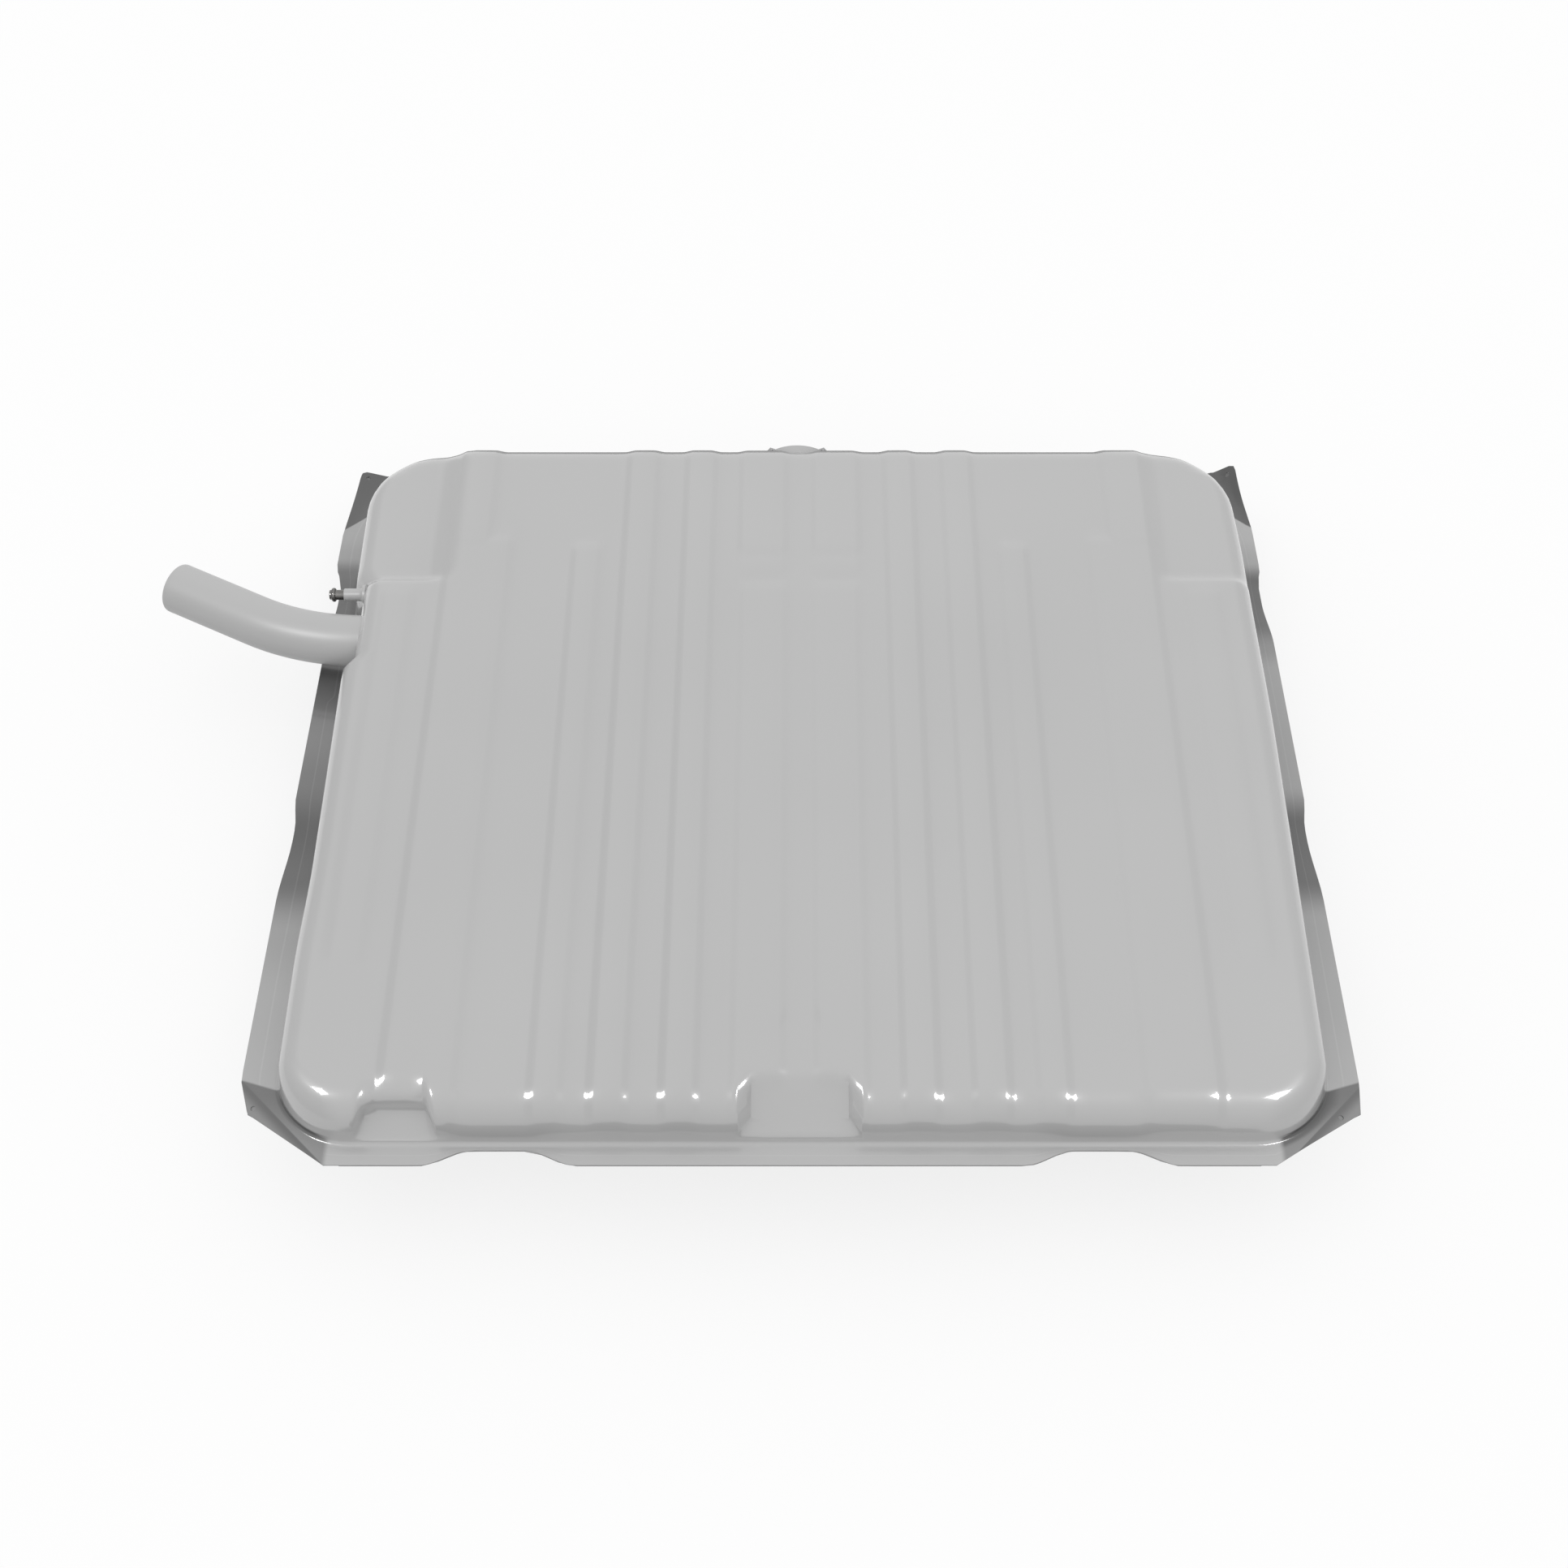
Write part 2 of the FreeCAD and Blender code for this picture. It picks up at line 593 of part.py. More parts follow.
def lower_shell():
    """Drawn lower pan with its flange and the hole for the drain."""
    below = tilted(Part.makeBox(1600.0, 1600.0, 300.0, V(-800.0, -800.0, -300.0)))
    skin = lower_form(0.0).common(below).fuse(flange(-SHEET, EAR_BEND_LOWER))
    shell = skin.cut([lower_form(-SHEET), flange(0.0, EAR_BEND)])
    return shell.cut(Part.makeCylinder(DRAIN_BORE + 1.0, 40.0, V(DRAIN_X, DRAIN_Y, -10.0)))


def sender_ring():
    """Lock ring welded on the boss, with hooks that hold the sender's cam ring."""
    ring = boss_disc(RING_R, BOSS_PROUD, RING_THICK)
    centre, normal = boss_axis()
    for i in range(HOOKS):
        post = Part.makeBox(HOOK_WIDE, HOOK_THICK, HOOK_TALL, V(-HOOK_WIDE / 2, HOOK_R, 0))
        lip = Part.makeBox(HOOK_WIDE, HOOK_REACH, HOOK_THICK, V(-HOOK_WIDE / 2, HOOK_R - HOOK_REACH, HOOK_TALL))
        base = Part.makeBox(HOOK_WIDE, HOOK_THICK, HOOK_THICK, V(-HOOK_WIDE / 2, HOOK_R, HOOK_TALL))
        hook = post.fuse(lip).fuse(base)
        hook.rotate(V(0, 0, 0), V(0, 0, 1), 360.0 * i / HOOKS)
        hook.Placement = FreeCAD.Placement(V(0, 0, 0), FreeCAD.Rotation(V(0, 0, 1), normal)).multiply(hook.Placement)
        hook.translate(centre.add(normal * (BOSS_PROUD + RING_THICK)))
        ring = ring.fuse(hook)
    return ring.cut(boss_disc(RING_BORE, -5.0, RING_THICK + 30.0))


def baffle(side):
    """Upright plate with a folded foot spot-welded to the floor, pierced for the fuel to pass."""
    foot_z = SHEET
    near_top = TOP_Z - SHEET - BAFFLE_CLEAR_TOP
    x = side * BAFFLE_X
    corners = [
        (BAFFLE_NEAR, foot_z, 0.0),
        (BAFFLE_FAR, foot_z, 0.0),
        (BAFFLE_FAR, near_top, BAFFLE_CORNER),
        (BAFFLE_NEAR, near_top, BAFFLE_CORNER),
    ]
    plate = prism(corners, 0.0, SHEET)
    length = BAFFLE_FAR - BAFFLE_NEAR
    pitch = length / BAFFLE_HOLES
    for i in range(BAFFLE_HOLES):
        at = BAFFLE_NEAR + pitch * (i + 0.5)
        plate = plate.cut(Part.makeCylinder(BAFFLE_HOLE_R, 3 * SHEET, V(at, near_top / 2.0 + foot_z, -SHEET)))
    for i in range(1, BAFFLE_HOLES):
        at = BAFFLE_NEAR + pitch * i
        plate = plate.cut(Part.makeCylinder(BAFFLE_DRAIN_R, 3 * SHEET, V(at, foot_z, -SHEET)))
    plate.Placement = FreeCAD.Placement(V(x, 0, 0), FreeCAD.Rotation(V(0, 1, 0), V(0, 0, 1), V(1, 0, 0), "XYZ"))
    foot = Part.makeBox(BAFFLE_FOOT, length, SHEET, V(x if side > 0 else x - BAFFLE_FOOT + SHEET, BAFFLE_NEAR, foot_z))
    for i in range(1, BAFFLE_HOLES):
        at = BAFFLE_NEAR + pitch * i
        foot = foot.cut(Part.makeCylinder(BAFFLE_DRAIN_R, 6.0, V(x, at, 0)))
    return plate.fuse(foot)


def drain_boss():
    """Tapped ring welded inside the dimple."""
    low = DIMPLE_DEPTH + SHEET
    body = Part.makeCylinder(BOSS_NUT_R, BOSS_NUT_TALL, V(DRAIN_X, DRAIN_Y, low))
    return body.cut(Part.makeCylinder(DRAIN_BORE, BOSS_NUT_TALL + 2.0, V(DRAIN_X, DRAIN_Y, low - 1.0)))


def drain_gasket():
    """Flat gasket under the plug's head."""
    low = DIMPLE_DEPTH - GASKET_THICK
    body = Part.makeCylinder(GASKET_R, GASKET_THICK, V(DRAIN_X, DRAIN_Y, low))
    return body.cut(Part.makeCylinder(DRAIN_BORE + 0.3, GASKET_THICK + 2.0, V(DRAIN_X, DRAIN_Y, low - 1.0)))


def drain_plug():
    """Hexagon-headed plug screwed up into the boss."""
    head_top = DIMPLE_DEPTH - GASKET_THICK
    radius = PLUG_HEAD_FLATS / math.sqrt(3.0)
    points = []
    for i in range(7):
        angle = math.radians(60.0 * i)
        points.append(V(DRAIN_X + radius * math.cos(angle), DRAIN_Y + radius * math.sin(angle), head_top - PLUG_HEAD_TALL))
    head = Part.Face(Part.makePolygon(points)).extrude(V(0, 0, PLUG_HEAD_TALL))
    shank = Part.makeCylinder(DRAIN_BORE - PLUG_CLEAR, PLUG_SHANK, V(DRAIN_X, DRAIN_Y, head_top - 0.5))
    return head.fuse(shank)


def main():
    os.makedirs("parts", exist_ok=True)
    pieces = {
        "upper_shell": upper_shell(),
        "lower_shell": lower_shell(),
        "filler_neck": filler_neck(),
        "vent_socket": vent_socket(),
        "vent_tube": vent_tube(),
        "sender_ring": sender_ring(),
        "baffle_left": baffle(-1),
        "baffle_right": baffle(1),
        "drain_boss": drain_boss(),
        "drain_gasket": drain_gasket(),
        "drain_plug": drain_plug(),
    }
    for name, shape in pieces.items():
        solid = shape.removeSplitter()
        solid.exportStep("parts/" + name + ".step")
        print(name, len(solid.Solids), "solid,", len(solid.Faces), "faces, valid", solid.isValid(), round(solid.Volume))


main()
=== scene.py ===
"""Looks of the car fuel tank: two drawn steel pans, filler neck, vent stub, sender port and drain.

Sizes are in millimetres in the classes that build meshes, and in metres in the coats and the studio.
"""

import json
import logging
import math
from collections.abc import Callable, Iterable
from dataclasses import dataclass, field
from enum import Enum
from typing import Union

import bpy
import numpy as np
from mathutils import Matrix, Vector

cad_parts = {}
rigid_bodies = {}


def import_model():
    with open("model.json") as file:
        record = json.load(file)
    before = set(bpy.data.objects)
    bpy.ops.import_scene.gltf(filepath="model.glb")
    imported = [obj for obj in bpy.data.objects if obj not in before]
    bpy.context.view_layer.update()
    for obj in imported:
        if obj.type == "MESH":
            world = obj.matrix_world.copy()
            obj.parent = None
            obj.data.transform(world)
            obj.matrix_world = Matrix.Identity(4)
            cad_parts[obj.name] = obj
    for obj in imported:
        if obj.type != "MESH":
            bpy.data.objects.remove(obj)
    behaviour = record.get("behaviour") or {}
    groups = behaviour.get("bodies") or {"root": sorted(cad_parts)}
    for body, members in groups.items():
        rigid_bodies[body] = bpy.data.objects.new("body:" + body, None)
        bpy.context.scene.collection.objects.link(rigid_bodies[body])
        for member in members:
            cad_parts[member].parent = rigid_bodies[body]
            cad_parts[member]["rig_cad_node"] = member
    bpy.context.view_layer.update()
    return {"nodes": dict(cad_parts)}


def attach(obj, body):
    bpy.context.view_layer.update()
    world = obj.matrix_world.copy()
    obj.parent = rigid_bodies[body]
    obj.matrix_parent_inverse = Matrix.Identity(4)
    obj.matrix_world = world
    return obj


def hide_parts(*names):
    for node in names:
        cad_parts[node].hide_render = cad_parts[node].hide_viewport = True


Array = np.ndarray
Surface = Callable[[Array, Array], Array]
Item = bpy.types.Object
Tree = bpy.types.NodeTree
Node = bpy.types.Node
Socket = bpy.types.NodeSocket
Feed = Union[Socket, float]
Pair = tuple[float, float]
Pairs = tuple[Pair, ...]
Triple = tuple[float, float, float]

LOG = logging.getLogger("fuel_tank")
MM = 0.001
TAU = 2.0 * math.pi
TINY = 1e-9
# Fine steps summed for each cell of an arc, and points of each rounded corner of a polyline.
ARC_STEPS = 8
ROUNDING_POINTS = 13
# Largest share of a polyline's leg that a rounding takes up, and least distance of two grid lines.
LEG_SHARE = 0.48
LEAST_GAP = 1.2
# Steps in which a ray is walked to an outline.
SETTLING_STEPS = 60
# Default scales of the spray's two noises.
PEEL_SCALE = 260.0
DRIFT_SCALE = 3.0


class Slot(str, Enum):
    """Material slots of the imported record."""

    PAINT = "silver_paint"
    BARE = "bare_steel"
    INNER = "inner_steel"
    ZINC = "zinc_plug"
    FIBRE = "gasket_fibre"


class Side(Enum):
    """Sides of the tank, by the sign of x."""

    LEFT = -1.0
    RIGHT = 1.0


class End(Enum):
    """Ends of the tank, by the sign of y."""

    FRONT = -1.0
    BACK = 1.0


# Finishes


def node_group(name: str, inputs: dict[str, float], outputs: list[str]) -> tuple[Tree, Node, Node]:
    """Makes a shader group whose inputs and outputs are plain numbers.

    Args:
        name: name of the group.
        inputs: default of each input, by name.
        outputs: names of the outputs.

    Returns:
        The group's tree, its input node and its output node.
    """
    tree = bpy.data.node_groups.new(name, "ShaderNodeTree")
    for key, value in inputs.items():
        socket = tree.interface.new_socket(name=key, in_out="INPUT", socket_type="NodeSocketFloat")
        socket.default_value = value
    for key in outputs:
        tree.interface.new_socket(name=key, in_out="OUTPUT", socket_type="NodeSocketFloat")
    return tree, tree.nodes.new("NodeGroupInput"), tree.nodes.new("NodeGroupOutput")


@dataclass
class Weave:
    """Builds small chains of number nodes in one tree."""

    tree: Tree

    def feed(self, socket: Socket, value: Feed) -> None:
        """Links a socket, or sets it where the value is a number."""
        if isinstance(value, float):
            socket.default_value = value
        else:
            self.tree.links.new(value, socket)

    def math(self, kind: str, first: Feed, second: Feed = 0.0) -> Socket:
        """Adds one arithmetic node.

        Args:
            kind: its operation.
            first: its first number.
            second: its second number, where it takes two.

        Returns:
            The result's socket.
        """
        node = self.tree.nodes.new("ShaderNodeMath")
        node.operation = kind
        self.feed(node.inputs[0], first)
        self.feed(node.inputs[1], second)
        return node.outputs["Value"]

    def step(self, value: Socket, low: float, high: float, start: float = 0.0, end: float = 1.0) -> Socket:
        """Smooth step from start to end while the value goes from low to high.

        Args:
            value: the number that goes from low to high.
            low: value where the step begins.
            high: value where it is over.
            start: result up to low.
            end: result from high on.

        Returns:
            The result's socket.
        """
        node = self.tree.nodes.new("ShaderNodeMapRange")
        node.interpolation_type = "SMOOTHSTEP"
        for key, number in (("From Min", low), ("From Max", high), ("To Min", start), ("To Max", end)):
            node.inputs[key].default_value = number
        self.feed(node.inputs["Value"], value)
        return node.outputs["Result"]

    def blend(self, share: Socket, first: Feed, second: Feed) -> Socket:
        """First where the share is nought, second where it is one.

        Args:
            share: share of the second number.
            first: the first number.
            second: the second number.

        Returns:
            The result's socket.
        """
        node = self.tree.nodes.new("ShaderNodeMix")
        node.data_type = "FLOAT"
        for key, value in (("Factor", share), ("A", first), ("B", second)):
            self.feed(node.inputs[key], value)
        return node.outputs["Result"]

    def mark(self, name: str) -> Socket:
        """A point attribute of the mesh."""
        node = self.tree.nodes.new("ShaderNodeAttribute")
        node.attribute_name = name
        return node.outputs["Fac"]

    def place(self, kind: str = "Object") -> tuple[Socket, Socket, Socket]:
        """The three coordinates of a kind, the object's own in metres unless another is named."""
        node = self.tree.nodes.new("ShaderNodeTexCoord")
        split = self.tree.nodes.new("ShaderNodeSeparateXYZ")
        self.tree.links.new(node.outputs[kind], split.inputs["Vector"])
        return split.outputs["X"], split.outputs["Y"], split.outputs["Z"]

    def course(self, value: Socket, stops: Pairs) -> Socket:
        """Number that follows stops, as a sum of one smooth step for each stretch between them.

        Args:
            value: the place in metres.
            stops: (place, number) in rising order.

        Returns:
            The result's socket.
        """
        total = None
        for (a, va), (b, vb) in zip(stops[:-1], stops[1:]):
            part = self.step(value, a, b, 0.0, vb - va)
            total = part if total is None else self.math("ADD", total, part)
        return self.math("ADD", total, stops[0][1])

    def beyond(self, across: Socket, along: Socket, line: Triple) -> Socket:
        """Distance in metres beyond the line a * across + b * along = c, for a line of (a, b, c)."""
        a, b, c = line
        total = self.math("ADD", self.math("MULTIPLY", across, a), self.math("MULTIPLY", along, b))
        return self.math("SUBTRACT", total, c)


@dataclass(frozen=True)
class FlangeShade:
    """Painted shade on the seam flange: shares of the full tone by place, darker where it lies in shade.

    A field that ends in "step" holds the value's low and high, and the result's start and end if
    they aren't 0 and 1. A fold is a line (a, b, c) of the plan.
    """

    # Painted shade along the left and the right flange, as (place along, share of the full tone).
    left: Pairs = (
        (-0.41, 1.0), (-0.33, 0.88), (-0.26, 0.84), (-0.185, 0.68), (-0.125, 0.15),
        (-0.06, 0.11), (-0.005, 0.28), (0.05, 0.38), (0.12, 0.34), (0.145, 0.12),
        (0.25, 0.16), (0.278, 0.24), (0.302, 0.66), (0.335, 0.78),
    )
    right: Pairs = (
        (-0.41, 1.0), (-0.33, 0.86), (-0.26, 0.78), (-0.17, 0.70), (-0.125, 0.15),
        (-0.055, 0.12), (-0.01, 0.66), (0.14, 0.72), (0.17, 0.52), (0.205, 0.14),
        (0.268, 0.14), (0.294, 0.76), (0.335, 0.92),
    )
    front_fold: Triple = (0.3037, -0.954, 0.4710)
    tip_fold: Triple = (0.715, -0.6995, 0.5814)
    back_fold: Triple = (0.69, 0.724, 0.5812)
    right_shift: float = 0.007
    right_step: Pair = (-0.01, 0.01)
    weld: float = 0.08
    weld_on_step: Pair = (0.42, 0.455)
    weld_off_step: Pair = (0.5, 0.465)
    outside_step: Pair = (0.395, 0.401)
    corner_step: Pair = (-0.001, 0.0015)
    inner_step: tuple[float, float, float, float] = (-0.352, -0.405, 0.26, 0.50)
    near_foot_step: tuple[float, float, float, float] = (0.0, 0.4, 0.35, 1.0)
    outer_step: tuple[float, float, float, float] = (0.001, 0.012, 0.20, 0.50)
    tip_step: Pair = (-0.0006, 0.0006)
    back_step: Pair = (-0.001, 0.001)
    back_shade_tone: float = 0.09
    hollow_shadow_tone: float = 0.10
    hollow_fold_step: Pair = (0.0, 0.012)
    hollow_across_step: Pair = (0.392, 0.412)

    def group(self) -> Tree:
        """Group with one factor for the colour: 1 on the pan, painted shade on its flange.

        Along the sides the painted shade follows the stops of its side, lighter on the weld's line. The
        front corners, parted by their two folds, and the back ones past their fold have painted shades of
        their own, and a painted shadow darkens the hollow at the foot of the front corners.
        """
        tree, _, out = node_group("flange_painted_shade", {}, ["Tone"])
        weave = Weave(tree)
        x, y, _ = weave.place()
        across = weave.math("ABSOLUTE", x)
        right = weave.step(x, *self.right_step)
        share = weave.mark("flange")
        inboard = weave.math("SUBTRACT", across, weave.math("MULTIPLY", right, self.right_shift))
        past_fold = weave.beyond(inboard, y, self.front_fold)
        past_tip = weave.beyond(inboard, y, self.tip_fold)
        past_back = weave.beyond(across, y, self.back_fold)
        weld_on, weld_off = weave.step(share, *self.weld_on_step), weave.step(share, *self.weld_off_step)
        weld = weave.math("MULTIPLY", weave.math("MULTIPLY", weld_on, weld_off), self.weld)
        # Painted shade along each side, set by place along it.
        sides = weave.blend(right, weave.course(y, self.left), weave.course(y, self.right))
        sides = weave.math("ADD", sides, weld)
        near_foot = weave.blend(right, 1.0, weave.step(share, *self.near_foot_step))
        inner = weave.math("MULTIPLY", weave.step(y, *self.inner_step), near_foot)
        outer = weave.step(past_tip, *self.outer_step)
        front = weave.blend(weave.step(past_tip, *self.tip_step), inner, outer)
        outside = weave.step(inboard, *self.outside_step)
        corner = weave.math("MULTIPLY", weave.step(past_fold, *self.corner_step), outside)
        # The front corners get painted shades of their own, parted by the folds.
        tone = weave.blend(corner, sides, front)
        # The back corners past their fold get one flat painted shade.
        tone = weave.blend(weave.step(past_back, *self.back_step), tone, self.back_shade_tone)
        band = weave.blend(weave.mark("band"), 1.0, tone)
        # Painted shadow in the hollow at the foot of the front corners, where the foot mark is set.
        past = weave.step(past_fold, *self.hollow_fold_step)
        out_from = weave.step(inboard, *self.hollow_across_step)
        hollow = weave.math("MULTIPLY", weave.mark("foot"), weave.math("MULTIPLY", past, out_from))
        shade = weave.blend(hollow, 1.0, self.hollow_shadow_tone)
        tree.links.new(weave.math("MULTIPLY", band, shade), out.inputs["Tone"])
        return tree


def spray_field() -> Tree:
    """Group of the sprayed coat: a fine orange-peel height and a broad tone that drifts."""
    scales = {"Peel scale": PEEL_SCALE, "Drift scale": DRIFT_SCALE}
    tree, given, out = node_group("spray_field", scales, ["Peel", "Drift"])
    coordinates = tree.nodes.new("ShaderNodeTexCoord")
    peel = tree.nodes.new("ShaderNodeTexNoise")
    peel.inputs["Detail"].default_value = 2.0
    drift = tree.nodes.new("ShaderNodeTexNoise")
    drift.inputs["Detail"].default_value = 3.0
    drift.inputs["Roughness"].default_value = 0.45
    for node, key in ((peel, "Peel"), (drift, "Drift")):
        tree.links.new(coordinates.outputs["Object"], node.inputs["Vector"])
        tree.links.new(given.outputs[f"{key} scale"], node.inputs["Scale"])
        tree.links.new(node.outputs["Fac"], out.inputs[key])
    return tree


@dataclass(frozen=True)
class Finish:
    """A dressed steel surface: colour range, roughness range, metal share, bump and clear coat."""

    name: str
    dark: float
    light: float
    rough_low: float
    rough_high: float
    metal: float
    bump: float
    peel: float = PEEL_SCALE
    drift: float = DRIFT_SCALE
    tint: Triple = (1.0, 1.0, 1.0)
    coat: float = 0.0
    coat_rough: float = 0.1
    coat_ior: float = 1.7
    # Whether the colour takes the seam flange's painted shade.
    flange: bool = False
    drift_range: Pair = (0.3, 0.7)
    bump_reach: float = 0.0004

    def material(self, group: Tree) -> bpy.types.Material:
        """Builds the node material from the shared spray group.

        Args:
            group: the shared spray group.

        Returns:
            The material.
        """
        made = bpy.data.materials.new(self.name)
        made.use_nodes = True
        tree = made.node_tree
        shader = tree.nodes["Principled BSDF"]
        spray = tree.nodes.new("ShaderNodeGroup")
        spray.node_tree = group
        spray.inputs["Peel scale"].default_value = self.peel
        spray.inputs["Drift scale"].default_value = self.drift
        ramp = tree.nodes.new("ShaderNodeValToRGB")
        stops = ramp.color_ramp.elements
        for stop, position, tone in zip(stops, self.drift_range, (self.dark, self.light)):
            stop.position = position
            stop.color = (*(tone * t for t in self.tint), 1.0)
        tree.links.new(spray.outputs["Drift"], ramp.inputs["Fac"])
        colour = ramp.outputs["Color"]
        if self.flange:
            # Painted shade on the seam flange.
            colour = self.shaded_flange(tree, colour)
        tree.links.new(colour, shader.inputs["Base Color"])
        rough = tree.nodes.new("ShaderNodeMapRange")
        rough.inputs["To Min"].default_value = self.rough_low
        rough.inputs["To Max"].default_value = self.rough_high
        tree.links.new(spray.outputs["Drift"], rough.inputs["Value"])
        tree.links.new(rough.outputs["Result"], shader.inputs["Roughness"])
        bump = tree.nodes.new("ShaderNodeBump")
        bump.inputs["Strength"].default_value = self.bump
        bump.inputs["Distance"].default_value = self.bump_reach
        tree.links.new(spray.outputs["Peel"], bump.inputs["Height"])
        tree.links.new(bump.outputs["Normal"], shader.inputs["Normal"])
        shader.inputs["Metallic"].default_value = self.metal
        shader.inputs["Coat Weight"].default_value = self.coat
        shader.inputs["Coat Roughness"].default_value = self.coat_rough
        shader.inputs["Coat IOR"].default_value = self.coat_ior
        return made

    def shaded_flange(self, tree: Tree, colour: Socket) -> Socket:
        """Paints shade on the seam flange: darkens the coat's colour there by the painted shade.

        Args:
            tree: the material's tree.
            colour: the coat's colour.

        Returns:
            The colour times the flange's painted shade.
        """
        # The group's factor is painted shade on the flange.
        coat = tree.nodes.new("ShaderNodeGroup")
        coat.node_tree = FlangeShade().group()
        mix = tree.nodes.new("ShaderNodeMix")
        mix.data_type = "RGBA"
        mix.blend_type = "MULTIPLY"
        mix.inputs["Factor"].default_value = 1.0
        tree.links.new(colour, mix.inputs["A"])
        tree.links.new(coat.outputs["Tone"], mix.inputs["B"])
        return mix.outputs["Result"]


COAT = Finish("silver_coat", 0.475, 0.495, 0.45, 0.52, 0.0, 0.05, coat=0.5, coat_rough=0.35)
# The pans' coat, with painted shade on the seam flange.
PAN_COAT = Finish("silver_pan_coat_flange_shade", 0.462, 0.482, 0.30, 0.36, 0.0, 0.05, coat=1.0, flange=True)
CUT_EDGE = Finish("cut_sheet_edge", 0.88, 0.95, 0.15, 0.25, 1.0, 0.1, peel=900.0)
BARE = Finish(
    "bare_drawn_steel", 0.16, 0.24, 0.12, 0.20, 1.0, 0.1, peel=700.0, drift=60.0, tint=(1.0, 0.98, 0.95)
)
INNER = Finish("inner_plate", 0.33, 0.42, 0.35, 0.5, 0.6, 0.2, peel=500.0, drift=12.0)
ZINC = Finish("zinc_plate", 0.48, 0.58, 0.25, 0.38, 0.9, 0.2, peel=800.0, drift=40.0, tint=(1.0, 0.95, 0.8))
FIBRE = Finish(
    "gasket_fibre", 0.04, 0.08, 0.7, 0.9, 0.0, 0.6, peel=1500.0, drift=80.0, tint=(1.0, 0.9, 0.8)
)


@dataclass
class Wardrobe:
    """The materials of the finishes, made once over one spray group."""

    finishes: tuple[Finish, ...] = (COAT, PAN_COAT, CUT_EDGE, BARE, INNER, ZINC, FIBRE)
    made: dict[str, bpy.types.Material] = field(default_factory=dict)

    def fill(self) -> "Wardrobe":
        """Makes the material of each finish and returns the wardrobe."""
        spray = spray_field()
        self.made = {finish.name: finish.material(spray) for finish in self.finishes}
        return self

    def dress(self, item: Item, finishes: tuple[Finish, ...], slot: Slot, *stands_for: str) -> None:
        """Gives an object its materials and body, and hides the CAD meshes of the nodes it stands for.

        Args:
            item: the object.
            finishes: finishes of its material indices.
            slot: slot of the record that it fills; not used.
            *stands_for: nodes whose CAD meshes it replaces.
        """
        item.data.materials.clear()
        for finish in finishes:
            item.data.materials.append(self.made[finish.name])
        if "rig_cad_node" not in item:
            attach(item, "root")
        if stands_for:
            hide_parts(*stands_for)


# Shapes as arrays


def ease(t: Array) -> Array:
    """Smooth step: 3t squared less 2t cubed, with t held between 0 and 1."""
    t = np.clip(t, 0.0, 1.0)
    return t * t * (3.0 - 2.0 * t)


def rise(x: Array, at: Array | float, width: float) -> Array:
    """Smooth step up from 0 to 1 across a width centred at a place."""
    return ease((x - at) / width + 0.5)


def ramp(x: Array, start: float, width: float) -> Array:
    """Straight ramp from 0 to 1 over a width that begins at the start."""
    return np.clip((x - start) / width, 0.0, 1.0)


@dataclass(frozen=True)
class Step:
    """A smooth step across a width centred at a place, as high as its size."""

    at: float
    width: float
    size: float = 1.0

    def over(self, x: Array) -> Array:
        """Size times the smooth step at x."""
        return self.size * rise(x, self.at, self.width)


@dataclass(frozen=True)
class Window:
    """As high as its size between two places, falling off smoothly across a width at each."""

    low: float
    high: float
    width: float
    size: float = 1.0

    def over(self, x: Array) -> Array:
        """Size times a step up at the low place times a step down at the high one."""
        return self.size * (rise(x, self.low, self.width) * (1.0 - rise(x, self.high, self.width)))


def rounded_distance(x: Array, y: Array, half: Array, ends: Pair, radius: Array) -> Array:
    """Distance from a rectangle with rounded corners, negative inside.

    It is the length of what goes past the corner's centre, both ways, less the radius.

    Args:
        x: places across.
        y: places along.
        half: half width of the rectangle.
        ends: its front and its back.
        radius: radius of its corners.

    Returns:
        The distance at each place.
    """
    qx = np.abs(x) - (half - radius)
    qy = np.where(y < 0, -y + ends[0] + radius, y - ends[1] + radius)
    return np.hypot(np.maximum(qx, 0.0), np.maximum(qy, 0.0)) + np.minimum(np.maximum(qx, qy), 0.0) - radius


def sweep_angle(first: Array, last: Array, length: Array, cells: int) -> tuple[Array, Array]:
    """Circular arc, as sums of the cosine and the sine of a slope that changes evenly with the length.

    Args:
        first: slope angle below the level at the start, one per ray.
        last: slope angle at the end.
        length: arc length of the curve.
        cells: number of cells along it.

    Returns:
        Run outwards and fall from the start, each rays by cells + 1.
    """
    fine = cells * ARC_STEPS
    u = np.linspace(0.0, 1.0, fine + 1)
    middle = 0.5 * (u[1:] + u[:-1])
    angle = first[:, None] + (last - first)[:, None] * middle[None, :]
    step = (length / fine)[:, None]
    start = np.zeros((len(first), 1))
    run = np.concatenate([start, np.cumsum(np.cos(angle) * step, axis=1)], axis=1)
    fall = np.concatenate([start, np.cumsum(np.sin(angle) * step, axis=1)], axis=1)
    return run[:, ::ARC_STEPS], fall[:, ::ARC_STEPS]


